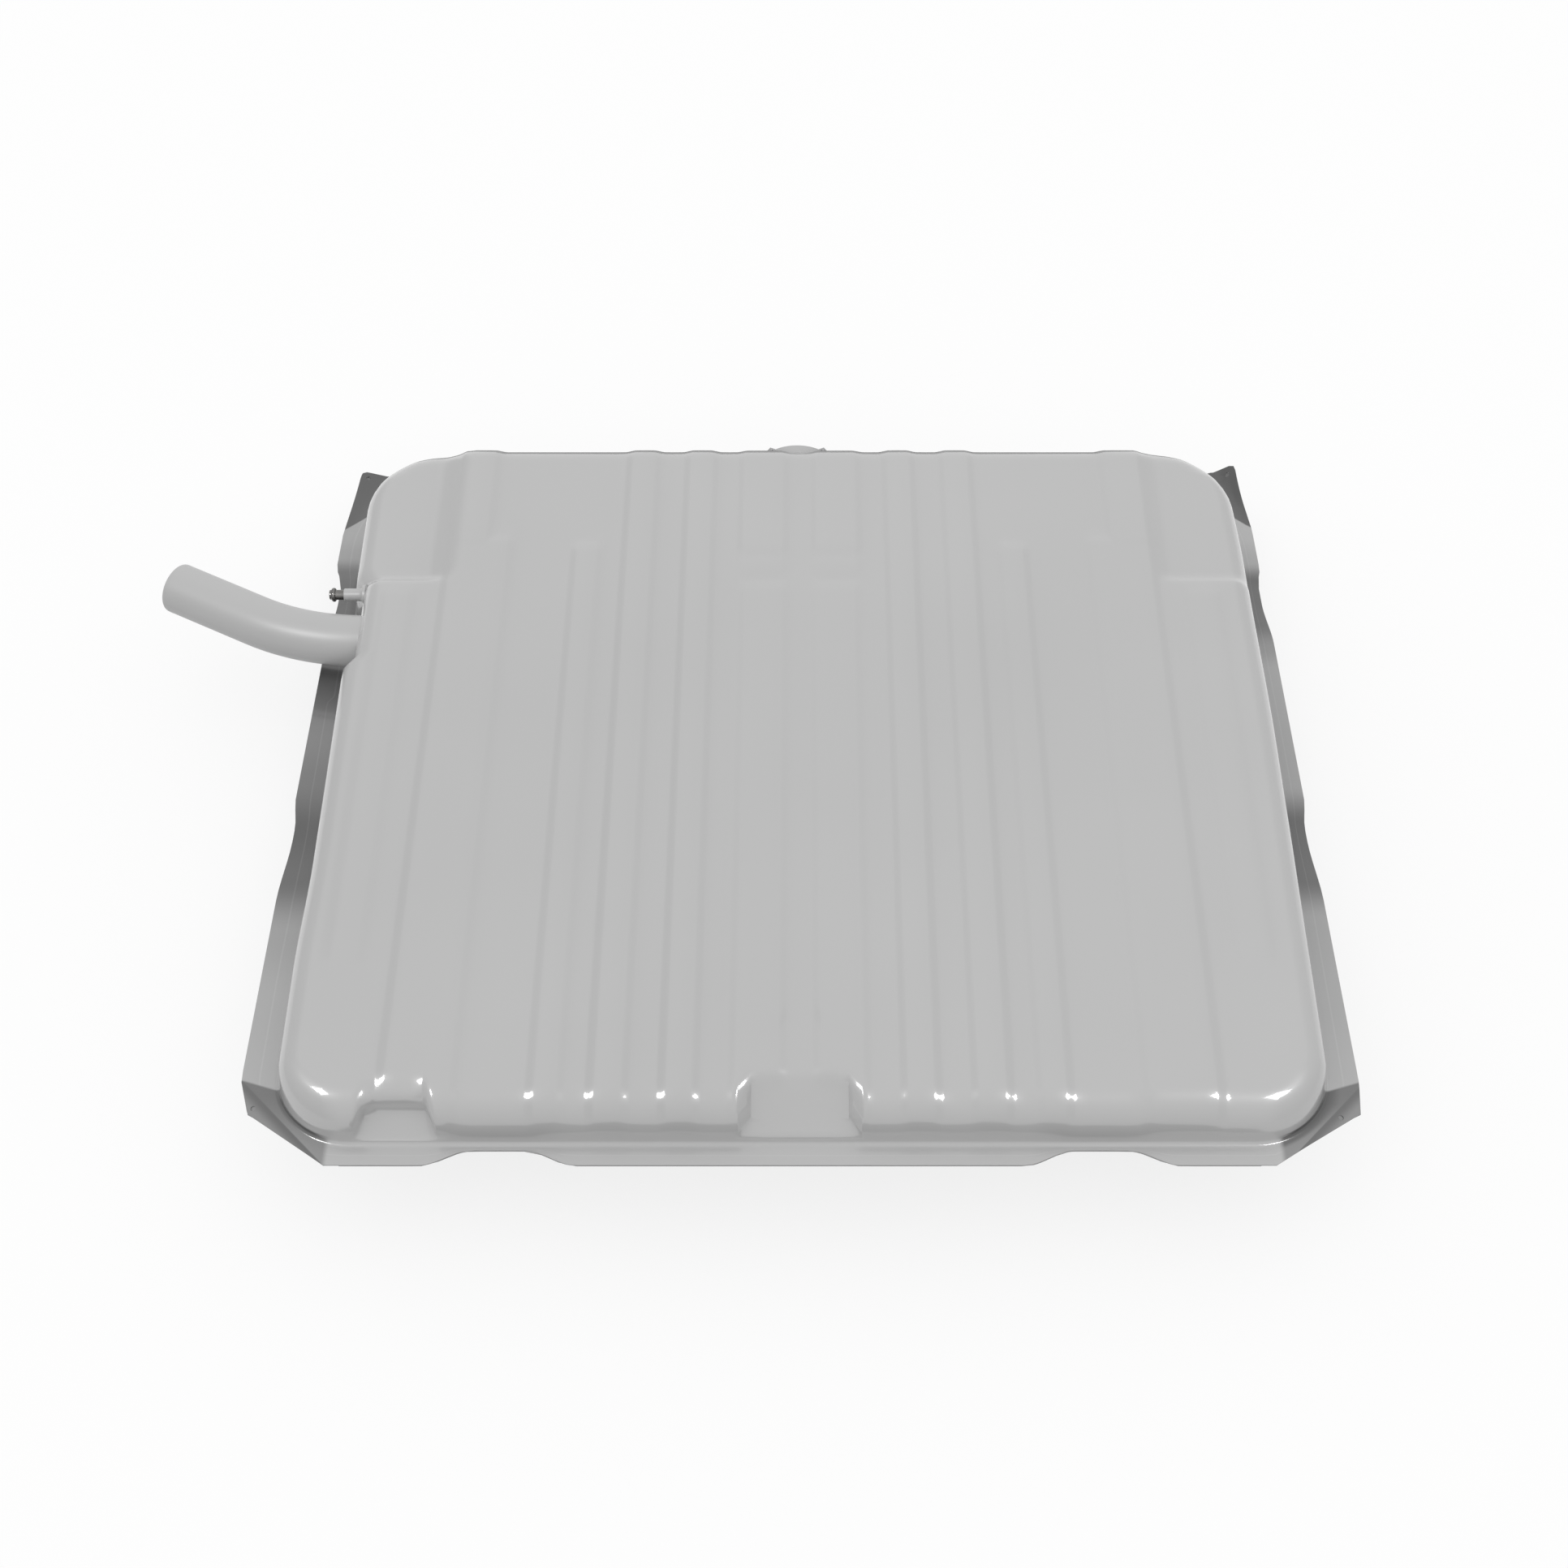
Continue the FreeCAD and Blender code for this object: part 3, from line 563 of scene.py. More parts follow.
def soft_polyline(points: list[Pair], radii: Iterable[float], count: int) -> Array:
    """Polyline with each inner corner rounded by a parabola, resampled evenly by length.

    Args:
        points: corners as (run, height).
        radii: reach of the rounding on each side of every inner corner.
        count: number of points wanted.

    Returns:
        Array count by 2.
    """
    corners = np.array(points, float)
    t = np.linspace(0.0, 1.0, ROUNDING_POINTS)[:, None]
    pieces = [corners[:1]]
    for before, corner, after, radius in zip(corners[:-2], corners[1:-1], corners[2:], radii):
        back, ahead = before - corner, after - corner
        reach = min(radius, LEG_SHARE * np.hypot(*back), LEG_SHARE * np.hypot(*ahead))
        a = corner + back / np.hypot(*back) * reach
        b = corner + ahead / np.hypot(*ahead) * reach
        pieces.append((1 - t) ** 2 * a + 2 * t * (1 - t) * corner + t**2 * b)
    line = np.concatenate([*pieces, corners[-1:]])
    length = np.concatenate([[0.0], np.cumsum(np.hypot(*np.diff(line, axis=0).T))])
    wanted = np.linspace(0.0, length[-1], count)
    return np.stack([np.interp(wanted, length, line[:, 0]), np.interp(wanted, length, line[:, 1])], axis=1)


def marks(low: float, high: float, gap: float, edges: Iterable[float], spread: tuple[float, ...]) -> Array:
    """Grid lines from low to high, dense about each edge and no further apart than the gap.

    Args:
        low: first line.
        high: last line.
        gap: greatest distance of two lines.
        edges: places that the lines crowd about.
        spread: distances from an edge at which its lines lie.

    Returns:
        The places of the lines in rising order.
    """
    wanted = [low, high] + [edge + s for edge in edges for s in spread if low < edge + s < high]
    line = np.unique(np.round(np.array(wanted), 3))
    kept = [line[0]]
    for value in line[1:]:
        if value - kept[-1] > LEAST_GAP or value == line[-1]:
            kept.append(value)
    parts = [np.linspace(a, b, int(np.ceil((b - a) / gap)) + 1)[:-1] for a, b in zip(kept[:-1], kept[1:])]
    return np.concatenate(parts + [np.array([high])])


def grid_quads(rows: int, cols: int) -> Array:
    """Quads of a rows by cols grid of points, counted row by row."""
    r, c = np.meshgrid(np.arange(rows - 1), np.arange(cols - 1), indexing="ij")
    a = (r * cols + c).ravel()
    return np.stack([a, a + 1, a + cols + 1, a + cols], axis=1)


def ring_quads(rows: int, cols: int) -> Array:
    """Quads of a rows by cols grid of points that closes on itself both ways."""
    i, j = np.meshgrid(np.arange(rows), np.arange(cols), indexing="ij")
    ni, nj = (i + 1) % rows, (j + 1) % cols
    return np.stack([i * cols + j, ni * cols + j, ni * cols + nj, i * cols + nj], axis=-1).reshape(-1, 4)


def vertex_normals(points: Array, quads: Array) -> Array:
    """Unit normal of each point: the sum of its faces' diagonal cross products.

    Args:
        points: places of the points.
        quads: the faces.

    Returns:
        One normal for each point.
    """
    cross = np.cross(points[quads[:, 2]] - points[quads[:, 0]], points[quads[:, 3]] - points[quads[:, 1]])
    total = np.zeros_like(points)
    for k in range(4):
        for axis in range(3):
            total[:, axis] += np.bincount(quads[:, k], cross[:, axis], minlength=len(points))
    return total / np.maximum(np.linalg.norm(total, axis=1, keepdims=True), TINY * MM)


def open_edges(quads: Array) -> Array:
    """Directed edges that only one face uses.

    Args:
        quads: the faces.

    Returns:
        Array edges by 2 of point numbers.
    """
    pairs = np.concatenate([quads[:, [k, (k + 1) % 4]] for k in range(4)])
    pairs = pairs[pairs[:, 0] != pairs[:, 1]]
    size = int(quads.max()) + 1
    key = pairs[:, 0].astype(np.int64) * size + pairs[:, 1]
    back = pairs[:, 1].astype(np.int64) * size + pairs[:, 0]
    return pairs[~np.isin(key, back)]


@dataclass
class Skin:
    """A surface in millimetres: points, quads, optional values per point and a rim."""

    points: Array
    quads: Array
    values: dict[str, Array] = field(default_factory=dict)
    rim: Array | None = None

    def mark(self, **bands: Array) -> None:
        """Gives the last points the values of each band, and nought to those before them."""
        for name, band in bands.items():
            self.values[name] = np.concatenate([np.zeros(len(self.points) - band.size), band.ravel()])

    def thickened(self, wall: float) -> "Skin":
        """The same skin with an inner face a wall below it and strips closing its open edges.

        Args:
            wall: thickness of the sheet.

        Returns:
            The closed sheet, whose strips are its rim.
        """
        inner = self.points - vertex_normals(self.points, self.quads) * wall
        count = len(self.points)
        edges = open_edges(self.quads)
        strip = np.stack([edges[:, 1], edges[:, 0], edges[:, 0] + count, edges[:, 1] + count], axis=1)
        quads = np.concatenate([self.quads, self.quads[:, ::-1] + count, strip])
        rim = np.zeros(len(quads), bool)
        rim[-len(strip):] = True
        values = {name: np.concatenate([v, v]) for name, v in self.values.items()}
        return Skin(np.concatenate([self.points, inner]), quads, values, rim)

    def pierced(self, x: float, y: float, radius: float, reach: float) -> "Skin":
        """The same skin with a round hole: the faces about its centre give way to a ring of quads.

        Args:
            x: centre of the hole across.
            y: centre of the hole along.
            radius: radius of the hole.
            reach: distance within which a face's middle makes it give way.

        Returns:
            The pierced skin, whose hole is one more open edge.
        """
        middle = self.points[self.quads].mean(axis=1)
        near = np.hypot(middle[:, 0] - x, middle[:, 1] - y) < reach
        edges = open_edges(self.quads[near])
        loop = edges[:, 0]
        away = self.points[loop, :2] - (x, y)
        away /= np.linalg.norm(away, axis=1, keepdims=True)
        spots = self.points[loop]
        sides = np.column_stack([spots[:, :2], np.ones(len(loop))])
        plane = np.linalg.lstsq(sides, spots[:, 2], rcond=None)[0]
        circle = np.array([x, y]) + away * radius
        fresh = np.column_stack([circle, circle @ plane[:2] + plane[2]])
        number = np.full(len(self.points), -1)
        number[loop] = len(self.points) + np.arange(len(loop))
        ring = np.stack([edges[:, 0], edges[:, 1], number[edges[:, 1]], number[edges[:, 0]]], axis=1)
        values = {name: np.concatenate([v, v[loop]]) for name, v in self.values.items()}
        return Skin(np.concatenate([self.points, fresh]), np.concatenate([self.quads[~near], ring]), values)

    def mesh(self, name: str, sharp: float = 40.0) -> Item:
        """Puts the skin into a mesh object in metres, smooth but for edges sharper than the angle.

        Args:
            name: name of the object.
            sharp: angle in degrees.

        Returns:
            The object. Its rim has the second material.
        """
        keep = self.quads != np.roll(self.quads, -1, axis=1)
        whole = keep.sum(axis=1) >= 3
        totals = keep.sum(axis=1)[whole]
        loops = self.quads[whole][keep[whole]]
        used, loops = np.unique(loops, return_inverse=True)
        points = self.points[used] * MM
        data = bpy.data.meshes.new(name)
        data.vertices.add(len(points))
        data.vertices.foreach_set("co", points.astype(np.float32).ravel())
        data.loops.add(len(loops))
        data.loops.foreach_set("vertex_index", loops.astype(np.int32))
        data.polygons.add(len(totals))
        starts = np.concatenate([[0], np.cumsum(totals)[:-1]])
        data.polygons.foreach_set("loop_start", starts.astype(np.int32))
        data.update(calc_edges=True)
        data.polygons.foreach_set("use_smooth", np.ones(len(totals), bool))
        if self.rim is not None:
            data.polygons.foreach_set("material_index", self.rim[whole].astype(np.int32))
        for key, value in self.values.items():
            attribute = data.attributes.new(key, "FLOAT", "POINT")
            attribute.data.foreach_set("value", value[used].astype(np.float32))
        data.validate()
        data.set_sharp_from_angle(angle=math.radians(sharp))
        item = bpy.data.objects.new(name, data)
        bpy.context.scene.collection.objects.link(item)
        LOG.info("%s: %d points, %d faces", name, len(points), len(totals))
        return item


def lathe(foot: Array, along: Array, profile: Pairs, sides: int) -> Skin:
    """Closed ring of a profile turned about an axis: points = foot + along * s + radial * r.

    Args:
        foot: a point on the axis.
        along: unit direction of the axis.
        profile: closed loop of (s, r), clockwise seen with s to the right and r up.
        sides: number of steps round.

    Returns:
        The skin of the ring.
    """
    loop = np.array(profile)[::-1]
    helper = np.array([0.0, 0.0, 1.0])
    first = np.cross(helper, along)
    first /= np.linalg.norm(first)
    second = np.cross(along, first)
    turn = np.arange(sides) * TAU / sides
    radial = np.cos(turn)[:, None] * first + np.sin(turn)[:, None] * second
    points = foot + loop[None, :, 0:1] * along + loop[None, :, 1:2] * radial[:, None, :]
    return Skin(points.reshape(-1, 3), ring_quads(sides, len(loop)))


# The pans


@dataclass
class Seam:
    """Seam plane, outline of the flange and its bent corners."""

    height: float = 74.0
    fall: float = math.tan(math.radians(3.3))
    half: float = 479.9
    front: float = -424.2
    back: float = 423.2
    strap: Window = Window(209.0, 297.0, 42.0, 14.0)
    side_notch: float = 3.6
    near_notch: tuple[Step, Step] = (Step(-112.0, 76.0), Step(-44.0, 34.0))
    far_notch: tuple[Step, Step] = (Step(206.0, 60.0), Step(274.0, 22.0))
    notch_dip: float = 4.0
    notch_ramp: Pair = (452.0, 28.0)
    left_bulge: Window = Window(276.0, 352.0, 36.0, 4.0)
    front_tip: Pair = (470.5, -372.5)
    front_end: float = 398.0
    front_fold: float = -341.5
    back_tip: Pair = (473.9, 426.0)
    back_end: float = 447.0
    back_fold: float = 342.0
    ear: Pairs = ((0.5, -6.5), (-1.2, -1.9), (-5.8, -0.6))
    right_shift: float = 7.0
    right_tip: float = 5.0
    front_bend: float = -math.tan(math.radians(16.0))
    back_bend_left: float = math.tan(math.radians(12.0))
    back_bend_right: float = math.tan(math.radians(25.0))
    fold_soft: float = 0.8
    fold_limits: Pair = (-12.0, 60.0)
    left_curl: float = 0.0015
    right_curl: float = 0.0040
    curl_ramp: Pair = (425.0, 18.0)
    curl_from: float = 375.0
    hole_radius: float = 2.3
    hole_reach: float = 6.6
    holes: Pairs = ((-466.0, -368.0), (459.5, -377.5), (-466.5, 417.5), (461.0, 417.0))

    def level(self, y: Array) -> Array:
        """Height of the seam plane."""
        return self.height - self.fall * y

    def tip(self, end: End, side: Side) -> Pair:
        """Outermost place of a corner, as if it lay on the right.

        Args:
            end: end of the tank.
            side: side of the tank.

        Returns:
            Its places across and along.
        """
        x, y = self.front_tip if end is End.FRONT else self.back_tip
        if side is Side.RIGHT:
            x += self.right_shift if end is End.FRONT else -self.right_tip
        return x, y

    def side_edge(self, x: Array, y: Array) -> Array:
        """Half width of the flange along the sides, drawn in at the two notches and wider at the back left.

        Args:
            x: places across, of which only the side counts.
            y: places along.

        Returns:
            Straight lines between the corners and the folds, plus the bulge, less the notches.
        """
        places = [self.front_tip[1], self.front_fold, self.back_fold, self.back_tip[1]]
        ends = ((self.tip(End.FRONT, side)[0], self.tip(End.BACK, side)[0]) for side in Side)
        left, right = (np.interp(y, places, [front, self.half, self.half, back]) for front, back in ends)
        wider = np.where(x < 0, self.left_bulge.over(y), 0.0)
        return np.where(x < 0, left, right) + wider - self.side_notch * self.notches(y)

    def inboard(self, x: Array) -> Array:
        """Distance from the middle, less the right front corner's shift."""
        return np.where(x < 0, -x, x - self.right_shift)

    def notches(self, y: Array) -> Array:
        """One in the two places along the side where the flange is drawn in and pressed down."""
        near, far = (on.over(y) * (1.0 - off.over(y)) for on, off in (self.near_notch, self.far_notch))
        return np.maximum(near, far)

    def front_edge(self, x: Array) -> Array:
        """Depth of the flange along the front: front line, strap notches and a chamfer past its end."""
        slope = (self.front_tip[1] - self.front) / (self.front_tip[0] - self.front_end)
        chamfer = slope * np.maximum(self.inboard(x) - self.front_end, 0.0)
        return self.front + self.strap.over(np.abs(x)) + chamfer

    def corner_chain(self, base: Pair, end: End, side: Side = Side.RIGHT) -> Array:
        """Outline of one corner of the flange, mirrored to the right, from the front or the side ray round.

        Args:
            base: point that the fan's rays leave.
            end: end of the tank.
            side: side of the tank.

        Returns:
            Points in the order of the fan's angles.
        """
        edge = float(self.side_edge(np.array(side.value), np.array(base[1])))
        x, y = self.tip(end, side)
        if end is End.FRONT:
            front = float(self.front_edge(side.value * base[0]))
            return np.array([(base[0], front), (x, y), (edge, base[1])])
        ear = [(x + dx, y + dy) for dx, dy in self.ear]
        return np.array([(edge, base[1]), *ear, (self.back_end, self.back), (base[0], self.back)])

    def past(self, x: Array, y: Array, first: Pair, last: Pair) -> Array:
        """Distance outside the fold line through two places, eased to nought inside it.

        Args:
            x: places across.
            y: places along.
            first: one place of the fold.
            last: another place of it.

        Returns:
            The softness times the logarithm of 1 + e to the power of distance over softness.
        """
        dx, dy = last[0] - first[0], last[1] - first[1]
        away = ((x - first[0]) * dy - (y - first[1]) * dx) / math.hypot(dx, dy)
        return np.logaddexp(0.0, np.clip(away / self.fold_soft, *self.fold_limits)) * self.fold_soft

    def lift(self, x: Array, y: Array) -> Array:
        """Height of the flange over the seam plane: front corners down, back corners up, notches down.

        Args:
            x: places across.
            y: places along.

        Returns:
            Bend times the distance past the fold, less the notches' dip, plus a curl that grows with the
            square of the distance past its start.
        """
        ax = np.abs(x)
        front = self.past(self.inboard(x), y, (self.front_end, self.front), (self.half, self.front_fold))
        back = self.past(ax, y, (self.half, self.back_fold), (self.back_end, self.back))
        up = np.where(x < 0, self.back_bend_left, self.back_bend_right)
        bent = self.front_bend * np.where(y < 0, front, 0.0) + up * np.where(y > 0, back, 0.0)
        curl = np.where(x < 0, self.left_curl, self.right_curl) * ramp(ax, *self.curl_ramp)
        dip = self.notch_dip * self.notches(y) * ramp(ax, *self.notch_ramp)
        return bent - dip + curl * np.maximum(y - self.curl_from, 0.0) ** 2

    def perforated(self, skin: Skin) -> Skin:
        """The skin of a pan with the round holes of the flange's four bent corners."""
        for x, y in self.holes:
            skin = skin.pierced(x, y, self.hole_radius, self.hole_reach)
        return skin


@dataclass
class Rays:
    """Rays that leave the edge of a flat core all round, counter-clockwise from the front left."""

    base: Array
    way: Array
    core: Array

    @staticmethod
    def around(xs: Array, ys: Array, front: Array, back: Array) -> "Rays":
        """Builds the rays of a core grid.

        Args:
            xs: grid lines across, the same at every depth.
            ys: grid lines along.
            front: angles in degrees of the rays of the right front corner's fan.
            back: those of the right back corner's fan.

        Returns:
            The rays: front, right front corner, right side and so on round.
        """
        nx, ny = len(xs), len(ys)
        front, back, half = np.radians(front), np.radians(back), math.pi / 2.0
        stretches = (
            (xs, ys[0], -half, np.arange(nx)),
            (xs[-1], ys[0], front, nx - 1),
            (xs[-1], ys, 0.0, np.arange(ny) * nx + nx - 1),
            (xs[-1], ys[-1], back, ny * nx - 1),
            (xs[::-1], ys[-1], half, (ny - 1) * nx + np.arange(nx)[::-1]),
            (xs[0], ys[-1], math.pi - back[::-1], (ny - 1) * nx),
            (xs[0], ys[::-1], math.pi, np.arange(ny)[::-1] * nx),
            (xs[0], ys[0], math.pi - front[::-1], 0),
        )
        columns = zip(*(np.broadcast_arrays(*stretch) for stretch in stretches))
        x, y, angle, core = (np.concatenate(column) for column in columns)
        return Rays(np.stack([x, y], axis=-1), np.stack([np.cos(angle), np.sin(angle)], axis=-1), core)

    def at(self, run: Array) -> tuple[Array, Array]:
        """Plan places a run along the rays.

        Args:
            run: one value or one row for each ray.

        Returns:
            Places across and along, in the run's shape.
        """
        wide = run if run.ndim == 2 else run[:, None]
        x = self.base[:, :1] + self.way[:, :1] * wide
        y = self.base[:, 1:] + self.way[:, 1:] * wide
        return (x, y) if run.ndim == 2 else (x[:, 0], y[:, 0])

    def settled(self, distance: Surface) -> Array:
        """Run along each ray to an outline, found by going back by the distance again and again.

        Args:
            distance: distance from the outline, negative inside.

        Returns:
            One run for each ray.
        """
        run = np.zeros(len(self.base))
        for _ in range(SETTLING_STEPS):
            run -= distance(*self.at(run))
        return run

    def to_edge(self, seam: Seam) -> Array:
        """Run along each ray to the edge of the flange.

        Args:
            seam: seam with the flange's outline.

        Returns:
            One run for each ray; in a corner's fan it is where the ray crosses the corner's chain.
        """
        base, way = self.base, self.way
        run = np.zeros(len(base))
        side = np.abs(way[:, 1]) < TINY
        run[side] = seam.side_edge(base[side, 0], base[side, 1]) - np.abs(base[side, 0])
        front = (np.abs(way[:, 0]) < TINY) & (way[:, 1] < 0)
        run[front] = base[front, 1] - seam.front_edge(base[front, 0])
        back = (np.abs(way[:, 0]) < TINY) & (way[:, 1] > 0)
        run[back] = seam.back - base[back, 1]
        fan = ~(side | front | back)
        for end, hand in ((end, hand) for end in End for hand in Side):
            mine = fan & ((way[:, 1] < 0) == (end is End.FRONT)) & ((base[:, 0] < 0) == (hand is Side.LEFT))
            corner = np.array([np.abs(base[mine][0, 0]), base[mine][0, 1]])
            chain = seam.corner_chain(corner, end, hand)
            angles = np.arctan2(chain[:, 1] - corner[1], chain[:, 0] - corner[0])
            ray = np.arctan2(way[mine, 1], np.abs(way[mine, 0]))
            k = np.clip(np.searchsorted(angles, ray + TINY) - 1, 0, len(chain) - 2)
            a, d = chain[k] - corner, chain[k + 1] - chain[k]
            u = np.stack([np.cos(ray), np.sin(ray)], axis=1)
            run[mine] = (a[:, 0] * d[:, 1] - a[:, 1] * d[:, 0]) / (u[:, 0] * d[:, 1] - u[:, 1] * d[:, 0])
        return run


@dataclass(frozen=True)
class CoreGrid:
    """Flat core of a pan: its reach, and the places that its grid lines crowd about."""

    half: float
    front: float
    back: float
    gap_x: float
    gap_y: float
    edges_x: tuple[float, ...]
    edges_y: tuple[float, ...]
    spread_x: tuple[float, ...]
    spread_y: tuple[float, ...]

    def lines(self, more: Iterable[float] = ()) -> tuple[Array, Array]:
        """Grid lines across and along, with more places to crowd about across."""
        xs = marks(-self.half, self.half, self.gap_x, [*self.edges_x, *more], self.spread_x)
        return xs, marks(self.front, self.back, self.gap_y, self.edges_y, self.spread_y)


@dataclass(kw_only=True)
class Pan:
    """What both pans share: sheet, seam, core grid and the rays about it."""

    seam: Seam
    core: CoreGrid
    wall: float = 1.0
    front_fan: int = 40
    back_fan: int = 44

    def fan(self, end: End) -> Array:
        """Inner angles of a corner's fan in degrees, even but snapped to the corners of the outline.

        Args:
            end: end of the tank.

        Returns:
            The angles in rising order.
        """
        front = end is End.FRONT
        base = (self.core.half, self.core.front if front else self.core.back)
        chain = self.seam.corner_chain(base, end)
        angles = np.degrees(np.arctan2(chain[:, 1] - base[1], chain[:, 0] - base[0]))
        even = np.linspace(angles[0], angles[-1], (self.front_fan if front else self.back_fan) + 1)
        for angle in angles[1:-1]:
            even[1 + np.argmin(np.abs(even[1:-1] - angle))] = angle
        return even[1:-1]

    def flange(self, rays: Rays, start: Array, over: float, cells: int) -> tuple[Array, Array, Array]:
        """Flange from a start out to its edge: seam plane plus lift.

        Args:
            rays: the pan's rays.
            start: run where it begins, rays by 1.
            over: height over the seam plane.
            cells: number of cells.

        Returns:
            Run, height and share of the way to the edge.
        """
        share = np.linspace(0.0, 1.0, cells + 1)[None, 1:]
        run = start + (rays.to_edge(self.seam)[:, None] - start) * share
        x, y = rays.at(run)
        return run, self.seam.level(y) + over + self.seam.lift(x, y), np.broadcast_to(share, run.shape)

    def joined(
        self, lines: tuple[Array, Array], rays: Rays, run: Array, z: Array, height: Surface
    ) -> Skin:
        """Skin of the core grid and the bands along its rays.

        Args:
            lines: grid lines of the core.
            rays: the pan's rays.
            run: run of each point of each ray, from the core's edge out.
            z: its height.
            height: height of the core at places of the plan.

        Returns:
            The skin, with the core's points first.
        """
        x, y = rays.at(run)
        band = np.stack([x, y, z], axis=-1)[:, 1:]
        count, depth = band.shape[:2]
        gx, gy = np.meshgrid(*lines)
        core = np.stack([gx, gy, height(gx, gy)], axis=-1).reshape(-1, 3)
        numbers = len(core) + np.arange(count * depth).reshape(count, depth)
        index = np.concatenate([rays.core[:, None], numbers], axis=1)
        after = np.roll(index, -1, axis=0)
        quads = np.stack([index[:, :-1], index[:, 1:], after[:, 1:], after[:, :-1]], axis=-1).reshape(-1, 4)
        quads = np.concatenate([grid_quads(len(lines[1]), len(lines[0])), quads])
        return Skin(np.concatenate([core, band.reshape(-1, 3)]), quads)


@dataclass
class Bead:
    """Raised band of the top panel, mirrored to both sides."""

    inner: float
    outer: float
    near: float
    far: float
    height: float
    end_share: float = 1.6

    def over(self, x: Array, y: Array, flank: float) -> Array:
        """Height that the bead adds: a window across times a window along, whose ends are softer."""
        across = Window(self.inner, self.outer, flank, self.height).over(np.abs(x))
        return across * Window(self.near, self.far, flank * self.end_share).over(y)


@dataclass
class TopPanel:
    """Height of the top panel: beads, lowered back corners, fall and creases at the front."""

    level: float = 140.0
    flank: float = 14.0
    through: float = 470.0
    left_ledge: tuple[Step, Step] = (Step(-357.0, 36.0), Step(200.0, 20.0))
    right_ledge: tuple[Step, Step] = (Step(362.0, 24.0), Step(199.0, 16.0))
    left_depth: float = 10.0
    right_depth: float = 5.5
    panel: Window = Window(-330.0, 410.0, 24.0)
    crease_y: float = 300.0
    crease_middle: float = 1.0
    crease_bow: Step = Step(16.0, 10.0, 14.0)
    crease_width: float = 6.0
    crease_depth: float = 0.7
    fall: float = 0.02
    fall_from: float = 314.0
    fall_over: float = 60.0

    def beads(self) -> list[Bead]:
        """The beads from the middle outwards."""
        t = self.through
        return [
            Bead(14.0, 57.0, -t, 189.0, 2.4),
            Bead(14.0, 60.0, 205.0, 228.0, 2.6),
            Bead(14.0, 60.0, 228.0, t, 3.0),
            Bead(87.0, 116.0, -t, t, 3.5),
            Bead(146.0, 176.0, -t, t, 3.5),
            Bead(200.0, 226.0, -t, 242.0, 3.0),
            Bead(289.0, 352.0, -t, 252.0, 3.0),
            Bead(311.0, 352.0, 236.0, t, 3.5),
            Bead(381.0, 412.0, -250.0, 182.0, 2.4),
        ]

    def height(self, x: Array, y: Array) -> Array:
        """Height of the panel: its level, the highest bead, less ledges, crease and fall.

        Args:
            x: places across.
            y: places along.

        Returns:
            The height at each place.
        """
        z = np.full(np.broadcast(x, y).shape, self.level)
        raised = np.zeros_like(z)
        for bead in self.beads():
            raised = np.maximum(raised, bead.over(x, y, self.flank))
        left = (1.0 - self.left_ledge[0].over(x)) * self.left_ledge[1].over(y)
        right = self.right_ledge[0].over(x) * self.right_ledge[1].over(y)
        z = z + raised * (1.0 - left) * (1.0 - right) - self.left_depth * left - self.right_depth * right
        panel = self.panel.over(x)
        bow = self.crease_y + self.crease_bow.over(np.abs(x - self.crease_middle))
        tip = rise(-y, bow, self.crease_width)
        fall = self.fall * np.clip(-y - self.fall_from, 0.0, self.fall_over) * panel
        return z - self.crease_depth * panel * tip - fall


@dataclass(frozen=True)
class Pocket:
    """A deeper profile of the front wall about one place across.

    Its corners are (distance from the middle, height), those above the foot from the foot's height.
    """

    centre: float
    start: float
    corners: Pairs
    above_foot: Pairs
    radii: tuple[float, ...]
    top_half: float
    low_half: float
    width: float = 12.0
    top: float = 139.0
    depth: float = 38.0
    fade: float = 4.0

    def profile(self, from_middle: float, foot: Pair, count: int) -> Array:
        """Rounded profile from the core's edge down to the foot.

        Args:
            from_middle: distance of the core's edge from the middle.
            foot: run and height where the foot's rounding starts.
            count: number of points.

        Returns:
            Array count by 2 of run and height.
        """
        line = [(y - from_middle, z) for y, z in self.corners]
        line += [(y - from_middle, foot[1] + z) for y, z in self.above_foot]
        return soft_polyline([(0.0, self.start), *line, foot], self.radii, count)


